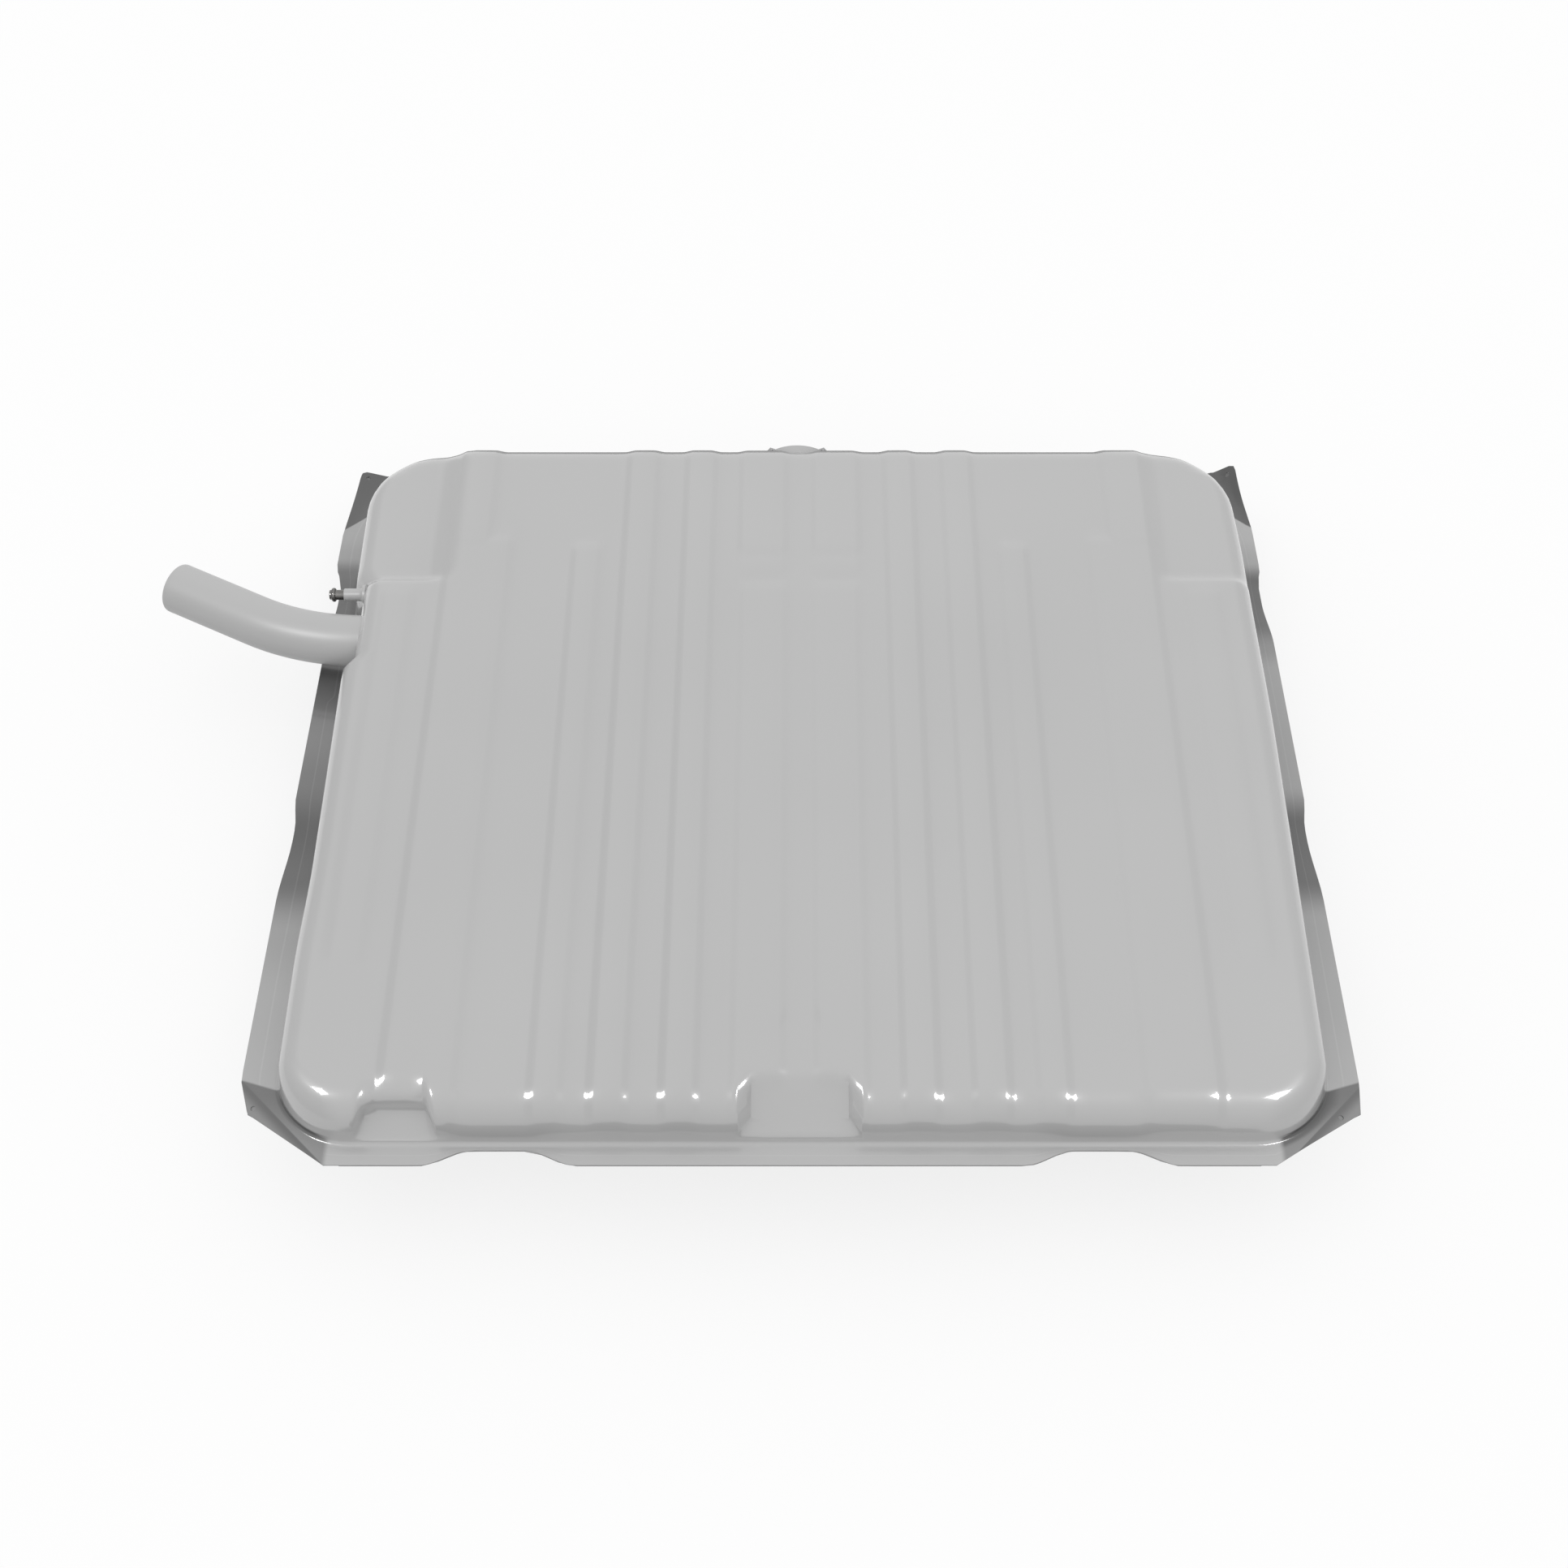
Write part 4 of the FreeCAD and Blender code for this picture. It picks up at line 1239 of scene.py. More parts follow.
@dataclass(kw_only=True)
class UpperPan(Pan):
    """Drawn upper pan: flat core, rounded edge, walls, foot and seam flange."""

    core: CoreGrid = CoreGrid(
        398.0, -343.0, 345.0, 11.0, 12.0,
        (-352.0, 362.0, -371.0, -309.0),
        (-314.0, -302.0, 189.0, 205.0, 228.0, 242.0, 252.0, 182.0, -250.0, 199.0,
         97.0, 112.0, 126.0, 143.0, 160.0, 174.0),
        (-5.2, -2.6, 0.0, 2.6, 5.2), (-6.0, 0.0, 6.0),
    )
    top: TopPanel = field(default_factory=TopPanel)
    core_margin: float = 4.0
    front: float = -397.5
    back: float = 385.0
    corner_front: float = 60.0
    corner_back: float = 74.0
    front_half: float = 439.5
    widening: float = 6.0
    pad: Window = Window(97.0, 205.0, 16.0, 13.0)
    pad_share: float = 16.0
    drawn_in: Window = Window(-190.0, 360.0, 120.0, 3.4)
    right_out: float = 4.0
    right_back: tuple[Step, Step] = (Step(120.0, 240.0, 4.0), Step(300.0, 150.0, 5.0))
    probe: float = 0.5
    least_slant: float = 0.6
    draft: float = 10.0
    draft_less: float = 2.0
    edge_round: Triple = (22.0, 13.0, 6.0)
    foot_round: float = 4.0
    # Painted shadow of the hollow at the foot, by cell, fading out towards the flange.
    foot_shade: tuple[float, ...] = (0.5, 1.0, 1.0, 0.8)
    cells: tuple[int, int, int, int, int] = (4, 13, 7, 4, 7)
    pockets: tuple[Pocket, ...] = (
        Pocket(0.0, 139.4, ((357.0, 139.2),), ((401.5, 4.5),), (7.0, 2.0), 49.0, 45.0),
        Pocket(
            -338.5, 140.0, ((362.0, 139.6), (379.5, 132.0), (383.0, 116.5)), (), (10.0, 5.0, 5.0), 26.0, 33.0
        ),
    )
    neck_hole: Triple = (143.0, 108.0, 24.0)
    neck_from: float = -400.0
    port_hole: Triple = (-3.0, 93.0, 36.0)
    port_stretch: float = 1.015
    port_from: float = 380.0

    def half_width(self, x: Array, y: Array) -> Array:
        """Half width of the top's sharp corner, set back on the left for the neck and the vent.

        Args:
            x: places across, of which only the side counts.
            y: places along.

        Returns:
            A straight line along, less pad and waist on the left, with two steps back on the right.
        """
        straight = self.front_half + self.widening * (y - self.front) / (self.back - self.front)
        pad = self.pad.over(y)
        drawn_in = self.drawn_in.over(y) * (1.0 - pad / self.pad_share)
        first, second = self.right_back
        return straight + np.where(x < 0, -pad - drawn_in, self.right_out - first.over(y) - second.over(y))

    def distance(self, x: Array, y: Array) -> Array:
        """Distance from the top's rounded outline, negative inside."""
        radius = np.where(y < 0, self.corner_front, self.corner_back)
        return rounded_distance(x, y, self.half_width(x, y), (self.front, self.back), radius)

    def slopes(self, rays: Rays, inset: Array) -> Triple:
        """How the walls stand along each ray, from the outline's normal.

        The normal is the gradient of the distance. Draft and edge radius change with how far it
        points to the front or to the back, and the run grows where the ray isn't square to it.

        Args:
            rays: the pan's rays.
            inset: run of each ray to the outline.

        Returns:
            The wall's run for each unit of fall, its angle below the level and the edge's radius.
        """
        x, y = rays.at(inset)
        h = self.probe
        gx = self.distance(x + h, y) - self.distance(x - h, y)
        gy = self.distance(x, y + h) - self.distance(x, y - h)
        size = np.maximum(np.hypot(gx, gy), TINY)
        nx, ny = gx / size, gy / size
        slant = 1.0 / np.clip(nx * rays.way[:, 0] + ny * rays.way[:, 1], self.least_slant, 1.0)
        draft = np.radians(self.draft - self.draft_less * ease(-ny))
        run_per_fall = np.tan(draft) * slant
        plain, more_front, more_back = self.edge_round
        radius = plain + more_front * ease(-ny) + more_back * ease(ny)
        return run_per_fall, math.pi / 2.0 - np.arctan(run_per_fall), radius

    def skin(self) -> Skin:
        """The outer face, from the core out along the rays to the flange's edge.

        Each ray carries a profile: flat, rounded edge, drafted wall, foot and flange. In the two
        front pockets the profile is blended into one cut deeper. Heights on the flat part come
        from the top panel's own height.

        Returns:
            The skin, with the flange, the foot's painted shadow and the band marked and the openings left
            out.
        """
        n_flat, n_edge, n_wall, n_foot, n_flange = self.cells
        sides = [v for bead in self.top.beads() for v in (bead.inner, bead.outer)]
        sides = [v for v in sides if v < self.core.half - self.core_margin]
        lines = self.core.lines([s * v for v in sides for s in (-1.0, 1.0)])
        rays = Rays.around(*lines, self.fan(End.FRONT), self.fan(End.BACK))
        inset = rays.settled(self.distance)
        run_per_fall, steep, radius = self.slopes(rays, inset)
        run_e, fall_e = sweep_angle(np.zeros_like(steep), steep, radius * steep, n_edge)
        start = inset + fall_e[:, -1] * run_per_fall - run_e[:, -1]
        level = self.top.height(*rays.at(start))
        start = inset + (self.top.level - level + fall_e[:, -1]) * run_per_fall - run_e[:, -1]
        flat_run = start[:, None] * np.linspace(0.0, 1.0, n_flat + 1)[None, :-1]
        flat_z = self.top.height(*rays.at(flat_run))
        edge_run = start[:, None] + run_e
        edge_z = level[:, None] - fall_e
        # The foot lies where the wall's line meets the flange's upper face.
        fall_out = self.seam.fall * rays.way[:, 1]
        above = self.top.level - (self.seam.height + self.wall)
        above = above + self.seam.fall * (rays.base[:, 1] + rays.way[:, 1] * inset)
        drop = above / (1.0 - fall_out * run_per_fall)
        plane = np.arctan(fall_out)
        reach = self.foot_round * np.tan((steep - plane) / 2.0)
        foot_run = inset + drop * run_per_fall - reach * np.cos(steep)
        foot_z = self.top.level - drop + reach * np.sin(steep)
        run_f, fall_f = sweep_angle(steep, plane, self.foot_round * (steep - plane), n_foot)
        foot_r, foot_h = foot_run[:, None] + run_f, foot_z[:, None] - fall_f
        t = np.linspace(0.0, 1.0, n_wall + 1)[None, 1:-1]
        wall_run = edge_run[:, -1:] + (foot_run[:, None] - edge_run[:, -1:]) * t
        wall_z = edge_z[:, -1:] + (foot_z[:, None] - edge_z[:, -1:]) * t
        upper_run = np.concatenate([flat_run, edge_run, wall_run], axis=1)
        upper_z = np.concatenate([flat_z, edge_z, wall_z], axis=1)
        upper_run, upper_z = self.pocketed(rays, upper_run, upper_z, foot_run, foot_z)
        flange_run, flange_z, share = self.flange(rays, foot_r[:, -1:], self.wall, n_flange)
        run = np.concatenate([upper_run, foot_r, flange_run], axis=1)
        z = np.concatenate([upper_z, foot_h, flange_z], axis=1)
        skin = self.joined(lines, rays, run, z, self.top.height)
        # The foot mark carries the painted shadow of the hollow where the wall meets the flange.
        out, fillet = np.zeros((2, len(run), run.shape[1] - 1))
        out[:, -n_flange:] = share
        shade = np.concatenate([self.foot_shade, np.linspace(self.foot_shade[0], 0.0, n_foot - 1)])
        fillet[:, -n_flange - len(shade) : -n_flange] = shade
        skin.mark(flange=out, foot=fillet, band=(run[:, 1:] > foot_r[:, :1]) * 1.0)
        return self.opened(skin)

    def pocketed(
        self, rays: Rays, run: Array, z: Array, foot_run: Array, foot_z: Array
    ) -> tuple[Array, Array]:
        """Blends the rays in the two front pockets into deeper profiles.

        Args:
            rays: the pan's rays.
            run: run of each profile point down to the foot.
            z: its height.
            foot_run: run where the foot's rounding starts.
            foot_z: height there.

        Returns:
            The changed run and height.
        """
        front = (np.abs(rays.way[:, 0]) < TINY) & (rays.way[:, 1] < 0)
        x = rays.base[:, 0]
        panel = z[:, :1].copy()
        for pocket in self.pockets:
            nearest = int(np.argmin(np.where(front, np.abs(x - pocket.centre), np.inf)))
            foot = (float(foot_run[nearest]), float(foot_z[nearest]))
            profile = pocket.profile(-self.core.front, foot, run.shape[1])
            share = np.clip((pocket.top - profile[:, 1]) / pocket.depth, 0.0, 1.0)
            half = pocket.top_half + (pocket.low_half - pocket.top_half) * share
            weight = 1.0 - rise(np.abs(x[:, None] - pocket.centre), half[None, :], pocket.width)
            weight = weight * front[:, None]
            fade = np.clip(1.0 - pocket.fade * share, 0.0, 1.0)[None, :]
            run = run * (1.0 - weight) + profile[None, :, 0] * weight
            z = z * (1.0 - weight) + (profile[None, :, 1] + (panel - profile[0, 1]) * fade) * weight
        return run, z

    def opened(self, skin: Skin) -> Skin:
        """Leaves out the faces inside the neck, the vent and the sender port.

        Args:
            skin: the pan's skin.

        Returns:
            The same skin with the two openings.
        """
        x, y, z = skin.points[skin.quads].mean(axis=1).T
        neck_y, neck_z, neck_reach = self.neck_hole
        port_x, port_z, port_reach = self.port_hole
        neck = (np.hypot(y - neck_y, z - neck_z) < neck_reach) & (x < self.neck_from)
        port = (np.hypot(x - port_x, (z - port_z) * self.port_stretch) < port_reach) & (y > self.port_from)
        return Skin(skin.points, skin.quads[~(neck | port)], skin.values)

    def build(self, wardrobe: Wardrobe) -> None:
        """Makes and dresses the pan's object, a sheet with both faces."""
        sheet = self.seam.perforated(self.skin()).thickened(self.wall)
        wardrobe.dress(sheet.mesh("upper_pan"), (PAN_COAT, CUT_EDGE), Slot.PAINT, "upper_shell")


@dataclass(kw_only=True)
class LowerPan(Pan):
    """Drawn lower pan: floor with strap channels and ribs, slanted walls and seam flange."""

    upper: UpperPan
    core: CoreGrid = CoreGrid(
        385.0, -300.0, 345.0, 16.0, 18.0,
        (-284.0, -236.0, -108.0, -76.0, 76.0, 108.0, 236.0, 284.0, 170.0, 200.0, 230.0),
        (-285.0, -262.0, -240.0, 300.0),
        (-4.5, -1.5, 1.5, 4.5), (-8.0, -3.0, 3.0, 8.0),
    )
    floor_half: float = 432.0
    floor_front: float = -336.0
    floor_back: float = 386.0
    corner: float = 60.0
    edge_round: float = 18.0
    wall_slope: float = 0.17
    floor_fade: float = 40.0
    cells: tuple[int, int, int, int] = (6, 8, 8, 5)
    channel: Window = Window(236.0, 284.0, 9.0, 5.0)
    rib: Window = Window(76.0, 108.0, 9.0, 4.0)
    rib_along: Window = Window(-240.0, 300.0, 16.0)
    drain: Pair = (200.0, -285.0)
    drain_hole: float = 11.0
    dimple_depth: float = 11.0
    dimple_flat: float = 21.0
    dimple_slope: float = 10.0

    def floor(self, x: Array, y: Array) -> Array:
        """Height of the floor: the highest of two strap channels, two ribs and the drain's dimple."""
        away = np.hypot(x - self.drain[0], y - self.drain[1])
        dimple = self.dimple_depth * (1.0 - ease((away - self.dimple_flat) / self.dimple_slope))
        rib = self.rib.over(np.abs(x)) * self.rib_along.over(y)
        return np.maximum(np.maximum(self.channel.over(np.abs(x)), rib), dimple)

    def distance(self, x: Array, y: Array) -> Array:
        """Distance from the floor's rounded outline, negative inside."""
        return rounded_distance(x, y, self.floor_half, (self.floor_front, self.floor_back), self.corner)

    def skin(self) -> Skin:
        """The outer face, from the floor out to the flange's edge, wound to face down.

        Each ray carries a profile: floor, rounded edge, straight wall and flange. The floor's own
        height fades out up the wall.

        Returns:
            The skin, with the flange marked and the drain's hole left out.
        """
        n_floor, n_edge, n_wall, n_flange = self.cells
        lines = self.core.lines()
        rays = Rays.around(*lines, self.fan(End.FRONT), self.fan(End.BACK))
        inset = rays.settled(self.distance)
        out = rays.settled(self.upper.distance)
        drop = self.upper.top.level - self.seam.level(rays.base[:, 1] + rays.way[:, 1] * out)
        out = out + drop * self.wall_slope
        top = self.seam.level(rays.at(out)[1])
        steep = np.arctan2(top, out - inset)
        start = inset - self.edge_round * np.tan(steep / 2.0)
        run_e, fall_e = sweep_angle(np.zeros_like(steep), steep, self.edge_round * steep, n_edge)
        floor_run = start[:, None] * np.linspace(0.0, 1.0, n_floor + 1)[None, :-1]
        edge_run, edge_z = start[:, None] + run_e, fall_e
        t = np.linspace(0.0, 1.0, n_wall + 1)[None, 1:]
        wall_run = edge_run[:, -1:] + (out[:, None] - edge_run[:, -1:]) * t
        wall_z = edge_z[:, -1:] + (top[:, None] - self.wall - edge_z[:, -1:]) * t
        flange_run, flange_z, share = self.flange(rays, out[:, None], -self.wall, n_flange)
        run = np.concatenate([floor_run, edge_run, wall_run, flange_run], axis=1)
        z = np.concatenate([np.zeros_like(floor_run), edge_z, wall_z, flange_z], axis=1)
        z = z + self.floor(*rays.at(run)) * np.clip(1.0 - z / self.floor_fade, 0.0, 1.0)
        skin = self.joined(lines, rays, run, z, self.floor)
        skin.quads = skin.quads[:, ::-1]
        away = np.hypot(skin.points[:, 0] - self.drain[0], skin.points[:, 1] - self.drain[1])
        hole = away < self.drain_hole
        skin.quads = skin.quads[~hole[skin.quads].all(axis=1)]
        flange = np.zeros((len(run), run.shape[1] - 1))
        flange[:, -n_flange:] = share
        skin.mark(flange=flange, band=flange, foot=np.zeros_like(flange))
        return skin

    def build(self, wardrobe: Wardrobe) -> None:
        """Makes and dresses the pan's object, a sheet with both faces."""
        item = self.skin().thickened(self.wall).mesh("lower_pan")
        wardrobe.dress(item, (PAN_COAT, CUT_EDGE), Slot.PAINT, "lower_shell")


# Neck, vent, port and the parts kept from the CAD


@dataclass
class FillerNeck:
    """Bent filler tube and the solder fillet at its root in the wall's pad."""

    radius: float = 25.4
    wall: float = 1.2
    root_x: float = -412.5
    y: float = 143.0
    z: float = 108.0
    bend_x: float = -489.3
    bend_radius: float = 240.0
    turn: float = math.radians(27.4)
    climb: float = math.radians(-0.3)
    end: float = 153.6
    sides: int = 96
    rings: tuple[int, int, int] = (9, 25, 16)
    mouth: Triple = (1.0, 0.6, 0.25)
    mouth_outer: Triple = (0.08, 0.25, 0.55)
    mouth_inner: Triple = (0.02, 0.12, 0.35)
    solder_x: float = -433.2
    solder: float = 2.4
    solder_back: float = 2.5
    solder_under: float = 0.3
    solder_points: int = 9
    pad_lean: float = math.radians(10.0)

    def path(self) -> tuple[Array, Array]:
        """Centre line and its unit direction: straight, one arc, straight.

        Returns:
            Places and directions of the rings, the last three close together at the mouth.
        """
        n_in, n_arc, n_out = self.rings
        first = np.array([-1.0, 0.0, 0.0])
        flat = math.cos(self.climb)
        out = np.array([-math.cos(self.turn) * flat, math.sin(self.turn) * flat, math.sin(self.climb)])
        corner = np.array([self.bend_x, self.y, self.z])
        angle = math.acos(float(first @ out))
        reach = self.bend_radius * math.tan(angle / 2.0)
        side = out - first * math.cos(angle)
        side /= np.linalg.norm(side)
        arc_start = corner - first * reach
        start = np.array([self.root_x, self.y, self.z])
        line_in = start + first * np.linalg.norm(arc_start - start) * np.linspace(0.0, 1.0, n_in)[:, None]
        a = np.linspace(0.0, angle, n_arc)[1:, None]
        arc = arc_start + self.bend_radius * (np.sin(a) * first + (1.0 - np.cos(a)) * side)
        way_arc = np.cos(a) * first + np.sin(a) * side
        tail = self.end - reach
        before, *last = (tail - gap for gap in self.mouth)
        s = np.concatenate([np.linspace(0.0, before, n_out)[1:], [*last, tail]])[:, None]
        points = np.concatenate([line_in, arc, arc[-1] + out * s])
        ways = np.concatenate([np.repeat(first[None], n_in, 0), way_arc, np.repeat(out[None], len(s), 0)])
        return points, ways

    def skin(self) -> Skin:
        """Tube: points = centre + radius * (cos * side + sin * up), with a rounded mouth.

        Returns:
            The tube's outer face, mouth and inner face as one closed skin.
        """
        centre, way = self.path()
        turn = np.arange(self.sides) * TAU / self.sides
        up = np.array([0.0, 0.0, 1.0]) - way[:, 2:3] * way
        up /= np.linalg.norm(up, axis=1, keepdims=True)
        side = np.cross(up, way)
        across, above = np.cos(turn)[None, :, None], np.sin(turn)[None, :, None]
        radial = across * side[:, None, :] + above * up[:, None, :]
        outer_r = np.full(len(centre), self.radius)
        outer_r[-len(self.mouth_outer):] -= self.mouth_outer
        inner_r = np.full(len(centre), self.radius - self.wall)
        inner_r[-len(self.mouth_inner):] += self.mouth_inner
        outer = centre[:, None, :] + radial * outer_r[:, None, None]
        inner = centre[:, None, :] + radial * inner_r[:, None, None]
        rings = np.concatenate([outer, inner[::-1]])
        return Skin(rings.reshape(-1, 3), ring_quads(len(rings), self.sides))

    def weld(self) -> Skin:
        """Solder round the neck at the pad: a hollow quarter round, leant over as the pad is.

        Returns:
            The closed ring.
        """
        quarter = np.linspace(0.0, 1.0, self.solder_points) * math.pi / 2.0
        top, low = self.radius + self.solder, self.radius - self.solder_under
        out = self.solder * (1.0 - np.sin(quarter))
        curve = np.stack([out, self.radius + self.solder * (1.0 - np.cos(quarter))], axis=1)
        back = -self.solder_back
        profile = np.concatenate([curve, [[back, top], [back, low], [self.solder, low]]])
        foot = np.array([self.solder_x, self.y, self.z])
        ring = lathe(foot, np.array([-1.0, 0.0, 0.0]), profile[::-1], self.sides)
        ring.points[:, 0] += (ring.points[:, 2] - self.z) * math.tan(self.pad_lean)
        return ring

    def build(self, wardrobe: Wardrobe) -> None:
        """Makes and dresses the tube and its solder."""
        wardrobe.dress(self.skin().mesh("neck_tube"), (COAT,), Slot.PAINT, "filler_neck")
        wardrobe.dress(self.weld().mesh("neck_solder"), (COAT,), Slot.PAINT)


@dataclass
class VentStub:
    """Painted socket in the pad and the bare beaded tube in it.

    Profiles are (distance from the middle plane, radius).
    """

    y: float = 194.0
    z: float = 119.0
    sides: int = 64
    socket: Pairs = (
        (412.5, 5.1), (454.0, 5.1), (454.0, 5.9), (453.7, 6.2), (453.2, 6.3), (438.5, 6.3), (436.6, 6.9),
        (435.4, 8.3), (434.8, 10.2), (432.0, 10.6), (430.0, 8.0), (428.0, 6.3), (412.5, 6.3),
    )
    tube: Pairs = ((404.0, 4.1), (468.1, 4.1), (468.4, 4.3), (468.5, 4.6), (468.3, 4.9), (468.0, 5.0))
    tube_back: Pair = (404.0, 5.0)
    bead_x: float = 462.3
    bead_half: float = 2.2
    bead_height: float = 2.0
    bead_points: int = 13

    def bead(self) -> list[Pair]:
        """Half an ellipse over the tube's radius, from its outer end inwards."""
        middle, radius = self.bead_x + self.bead_half, self.tube_back[1]
        turn = np.linspace(0.0, math.pi, self.bead_points)[::-1]
        half, height = self.bead_half, self.bead_height
        return [(middle - half * math.cos(a), radius + height * math.sin(a)) for a in turn]

    def build(self, wardrobe: Wardrobe) -> None:
        """Makes and dresses the socket and the tube, both turned about the X axis."""
        foot, way = np.array([0.0, self.y, self.z]), np.array([-1.0, 0.0, 0.0])
        socket = lathe(foot, way, self.socket, self.sides).mesh("vent_socket_turned")
        profile = (*self.tube, *self.bead(), self.tube_back)
        tube = lathe(foot, way, profile, self.sides).mesh("vent_tube_turned")
        wardrobe.dress(socket, (COAT,), Slot.PAINT, "vent_socket")
        wardrobe.dress(tube, (BARE,), Slot.BARE, "vent_tube")


@dataclass
class SenderPort:
    """Drawn boss of the back wall round the sender port: a flat ring a millimetre proud.

    Its skirt runs back into the rounded edge. The profile is (distance out of the wall, radius).
    """

    x: float = -3.0
    wall_y: float = 385.0
    top: float = 140.0
    drop: float = 47.0
    lean: float = math.radians(10.0)
    sides: int = 96
    profile: Pairs = (
        (-1.0, 31.0), (1.0, 31.0), (1.0, 41.0), (0.7, 41.6),
        (0.0, 41.9), (-24.0, 36.0), (-24.0, 34.8), (-1.0, 40.2),
    )

    def build(self, wardrobe: Wardrobe) -> None:
        """Makes and dresses the boss about the port's axis, square to the leaning wall."""
        way = np.array([0.0, math.cos(self.lean), math.sin(self.lean)])
        centre = np.array([self.x, self.wall_y + self.drop * math.tan(self.lean), self.top - self.drop])
        boss = lathe(centre, way, self.profile, self.sides).mesh("sender_boss")
        wardrobe.dress(boss, (COAT,), Slot.PAINT)


@dataclass(frozen=True)
class KeptParts:
    """Parts whose CAD meshes are kept: lock ring, baffles and drain."""

    parts: tuple[tuple[str, Finish, Slot], ...] = (
        ("sender_ring", COAT, Slot.PAINT),
        ("baffle_left", INNER, Slot.INNER),
        ("baffle_right", INNER, Slot.INNER),
        ("drain_boss", INNER, Slot.INNER),
        ("drain_plug", ZINC, Slot.ZINC),
        ("drain_gasket", FIBRE, Slot.FIBRE),
    )

    def build(self, nodes: dict[str, Item], wardrobe: Wardrobe) -> None:
        """Dresses each part.

        Args:
            nodes: objects of the frame by node.
            wardrobe: materials.
        """
        for name, finish, slot in self.parts:
            wardrobe.dress(nodes[name], (finish,), slot)
            LOG.info("%s: mesh kept from the CAD", name)


# Studio


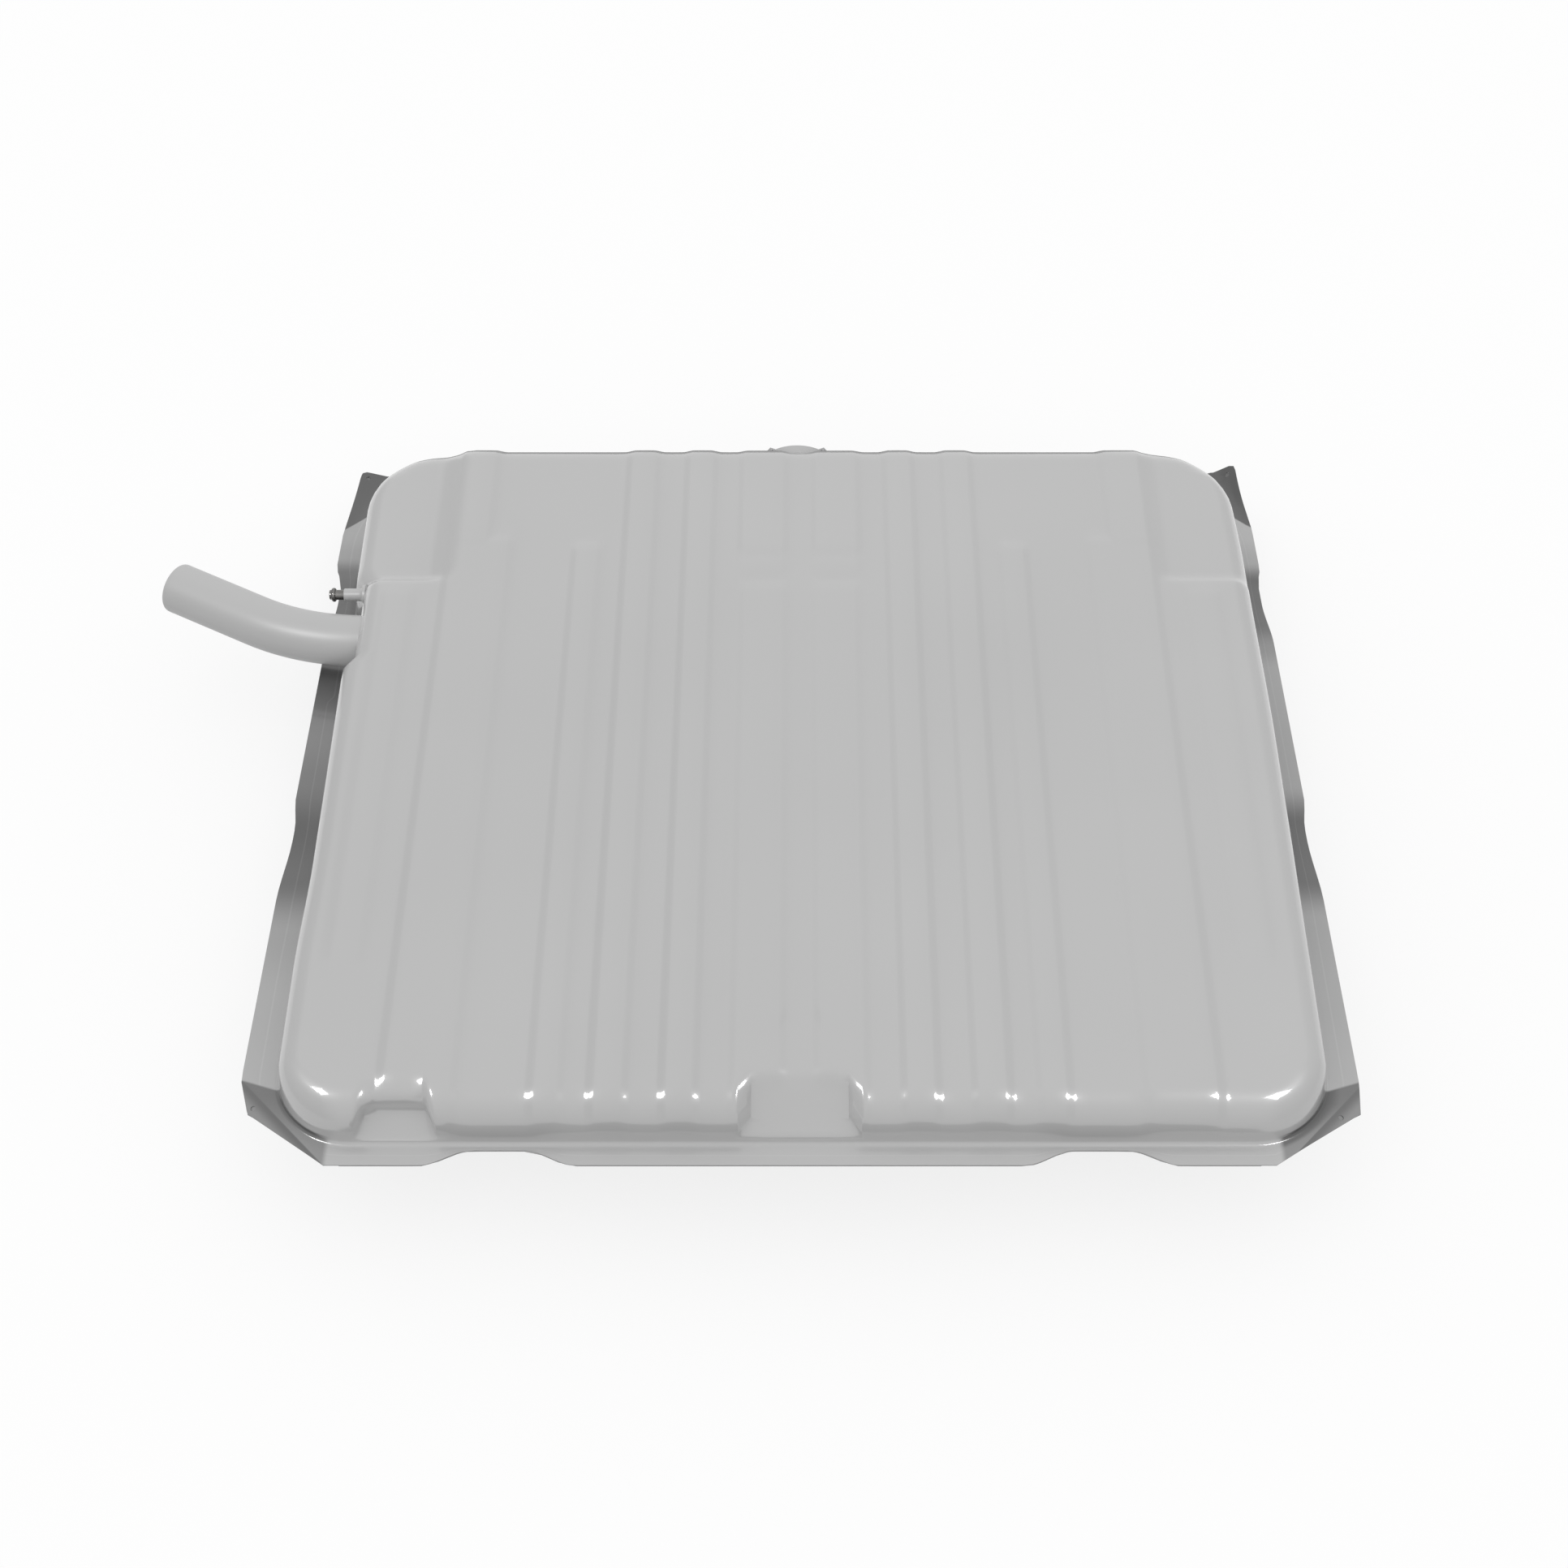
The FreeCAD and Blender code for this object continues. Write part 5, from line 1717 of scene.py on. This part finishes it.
@dataclass
class Studio:
    """Pale floor, even white surroundings, two soft boxes and the camera of the photograph."""

    camera_place: Triple = (0.0, -1.258, 1.745)
    pitch: float = 53.2
    lens: float = 50.0
    sensor: float = 36.0
    shift: float = -0.01014
    clip_end: float = 50.0
    boxes: tuple[tuple[str, Triple], ...] = (
        ("left_box", (-1.42, -0.68, 1.92)),
        ("right_box", (1.22, -0.85, 1.92)),
    )
    box_size: float = 0.48
    box_watts: float = 14.0
    aim: Triple = (0.0, 0.0, 0.1)
    floor_half: float = 12.0
    floor_tones: Pair = (0.18, 1.0)
    floor_glow: float = 0.78
    beside_step: Pair = (0.44, 0.50)
    world: float = 0.95
    lean: float = 0.08
    dusk_left: float = 0.38
    dusk_right: float = 0.20
    dusk_step: Pair = (0.28, 0.62)

    def camera(self) -> None:
        """Sets the camera that matches the photograph's view."""
        data = bpy.data.cameras.new("photo_camera")
        data.lens = self.lens
        data.sensor_width = self.sensor
        data.shift_x = self.shift
        data.clip_end = self.clip_end
        item = bpy.data.objects.new("photo_camera", data)
        item.location = self.camera_place
        item.rotation_euler = (math.radians(90.0 - self.pitch), 0.0, 0.0)
        bpy.context.scene.collection.objects.link(item)
        bpy.context.scene.camera = item

    def lamp(self, name: str, place: Triple) -> None:
        """Adds a soft box that looks at the tank and shows only as a highlight in its gloss.

        Args:
            name: name of the lamp.
            place: where it hangs.
        """
        data = bpy.data.lights.new(name, "AREA")
        data.shape = "RECTANGLE"
        data.size = self.box_size
        data.size_y = self.box_size
        data.energy = self.box_watts
        item = bpy.data.objects.new(name, data)
        item.location = place
        item.rotation_euler = (Vector(self.aim) - Vector(place)).to_track_quat("-Z", "Y").to_euler()
        item.visible_diffuse = False
        bpy.context.scene.collection.objects.link(item)

    def floor(self) -> None:
        """Adds the floor: near white to the camera, dim to light that bounces from it."""
        size = self.floor_half
        data = bpy.data.meshes.new("studio_floor")
        corners = [(-size, -size, 0.0), (size, -size, 0.0), (size, size, 0.0), (-size, size, 0.0)]
        data.from_pydata(corners, [], [(0, 1, 2, 3)])
        item = bpy.data.objects.new("studio_floor", data)
        bpy.context.scene.collection.objects.link(item)
        made = bpy.data.materials.new("studio_floor")
        made.use_nodes = True
        tree = made.node_tree
        tree.nodes.remove(tree.nodes["Principled BSDF"])
        weave = Weave(tree)
        path = tree.nodes.new("ShaderNodeLightPath").outputs
        camera = weave.math("MAXIMUM", path["Is Camera Ray"], path["Is Transmission Ray"])
        beside = weave.step(weave.math("ABSOLUTE", weave.place()[0]), *self.beside_step)
        seen = weave.math("MAXIMUM", camera, weave.math("MULTIPLY", path["Is Glossy Ray"], beside))
        diffuse = tree.nodes.new("ShaderNodeBsdfDiffuse")
        tree.links.new(weave.blend(seen, *self.floor_tones), diffuse.inputs["Color"])
        glow = tree.nodes.new("ShaderNodeEmission")
        glow.inputs["Strength"].default_value = 1.0
        blend = tree.nodes.new("ShaderNodeMixShader")
        tree.links.new(weave.math("MULTIPLY", seen, self.floor_glow), blend.inputs["Fac"])
        tree.links.new(diffuse.outputs["BSDF"], blend.inputs[1])
        tree.links.new(glow.outputs["Emission"], blend.inputs[2])
        tree.links.new(blend.outputs["Shader"], tree.nodes["Material Output"].inputs["Surface"])
        data.materials.append(made)

    def sky(self) -> None:
        """Even white surroundings, at full white where seen, with a dusk at both sides for the gloss."""
        world = bpy.data.worlds.new("studio_world")
        bpy.context.scene.world = world
        world.use_nodes = True
        tree = world.node_tree
        shade = tree.nodes["Background"]
        shade.inputs["Color"].default_value = (1.0, 1.0, 1.0, 1.0)
        weave = Weave(tree)
        path = tree.nodes.new("ShaderNodeLightPath").outputs
        seen = weave.math("MAXIMUM", path["Is Camera Ray"], path["Is Glossy Ray"])
        seen = weave.math("MAXIMUM", seen, path["Is Transmission Ray"])
        x, _, _ = weave.place("Generated")
        level = weave.blend(seen, self.world, 1.0)
        tilt = weave.blend(seen, weave.math("MULTIPLY", x, -self.lean), 0.0)
        total = weave.math("MULTIPLY", level, weave.math("ADD", tilt, 1.0))
        near, far = self.dusk_step
        west = weave.step(x, -near, -far, 0.0, self.dusk_left)
        east = weave.step(x, near, far, 0.0, self.dusk_right)
        dusk = weave.math("MULTIPLY", weave.math("ADD", west, east), path["Is Glossy Ray"])
        total = weave.math("MULTIPLY", total, weave.math("SUBTRACT", 1.0, dusk))
        tree.links.new(total, shade.inputs["Strength"])

    def build(self) -> None:
        """Sets up the whole studio."""
        self.camera()
        self.floor()
        self.sky()
        for name, place in self.boxes:
            self.lamp(name, place)
        bpy.context.scene.view_settings.view_transform = "Standard"


def main() -> None:
    """Builds and dresses every piece in order."""
    logging.basicConfig(level=logging.INFO, format="%(name)s %(message)s")
    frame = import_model()
    wardrobe = Wardrobe().fill()
    seam = Seam()
    upper = UpperPan(seam=seam)
    upper.build(wardrobe)
    LowerPan(seam=seam, upper=upper).build(wardrobe)
    FillerNeck().build(wardrobe)
    VentStub().build(wardrobe)
    SenderPort().build(wardrobe)
    KeptParts().build(frame["nodes"], wardrobe)
    Studio().build()


if __name__ == "__main__":
    main()
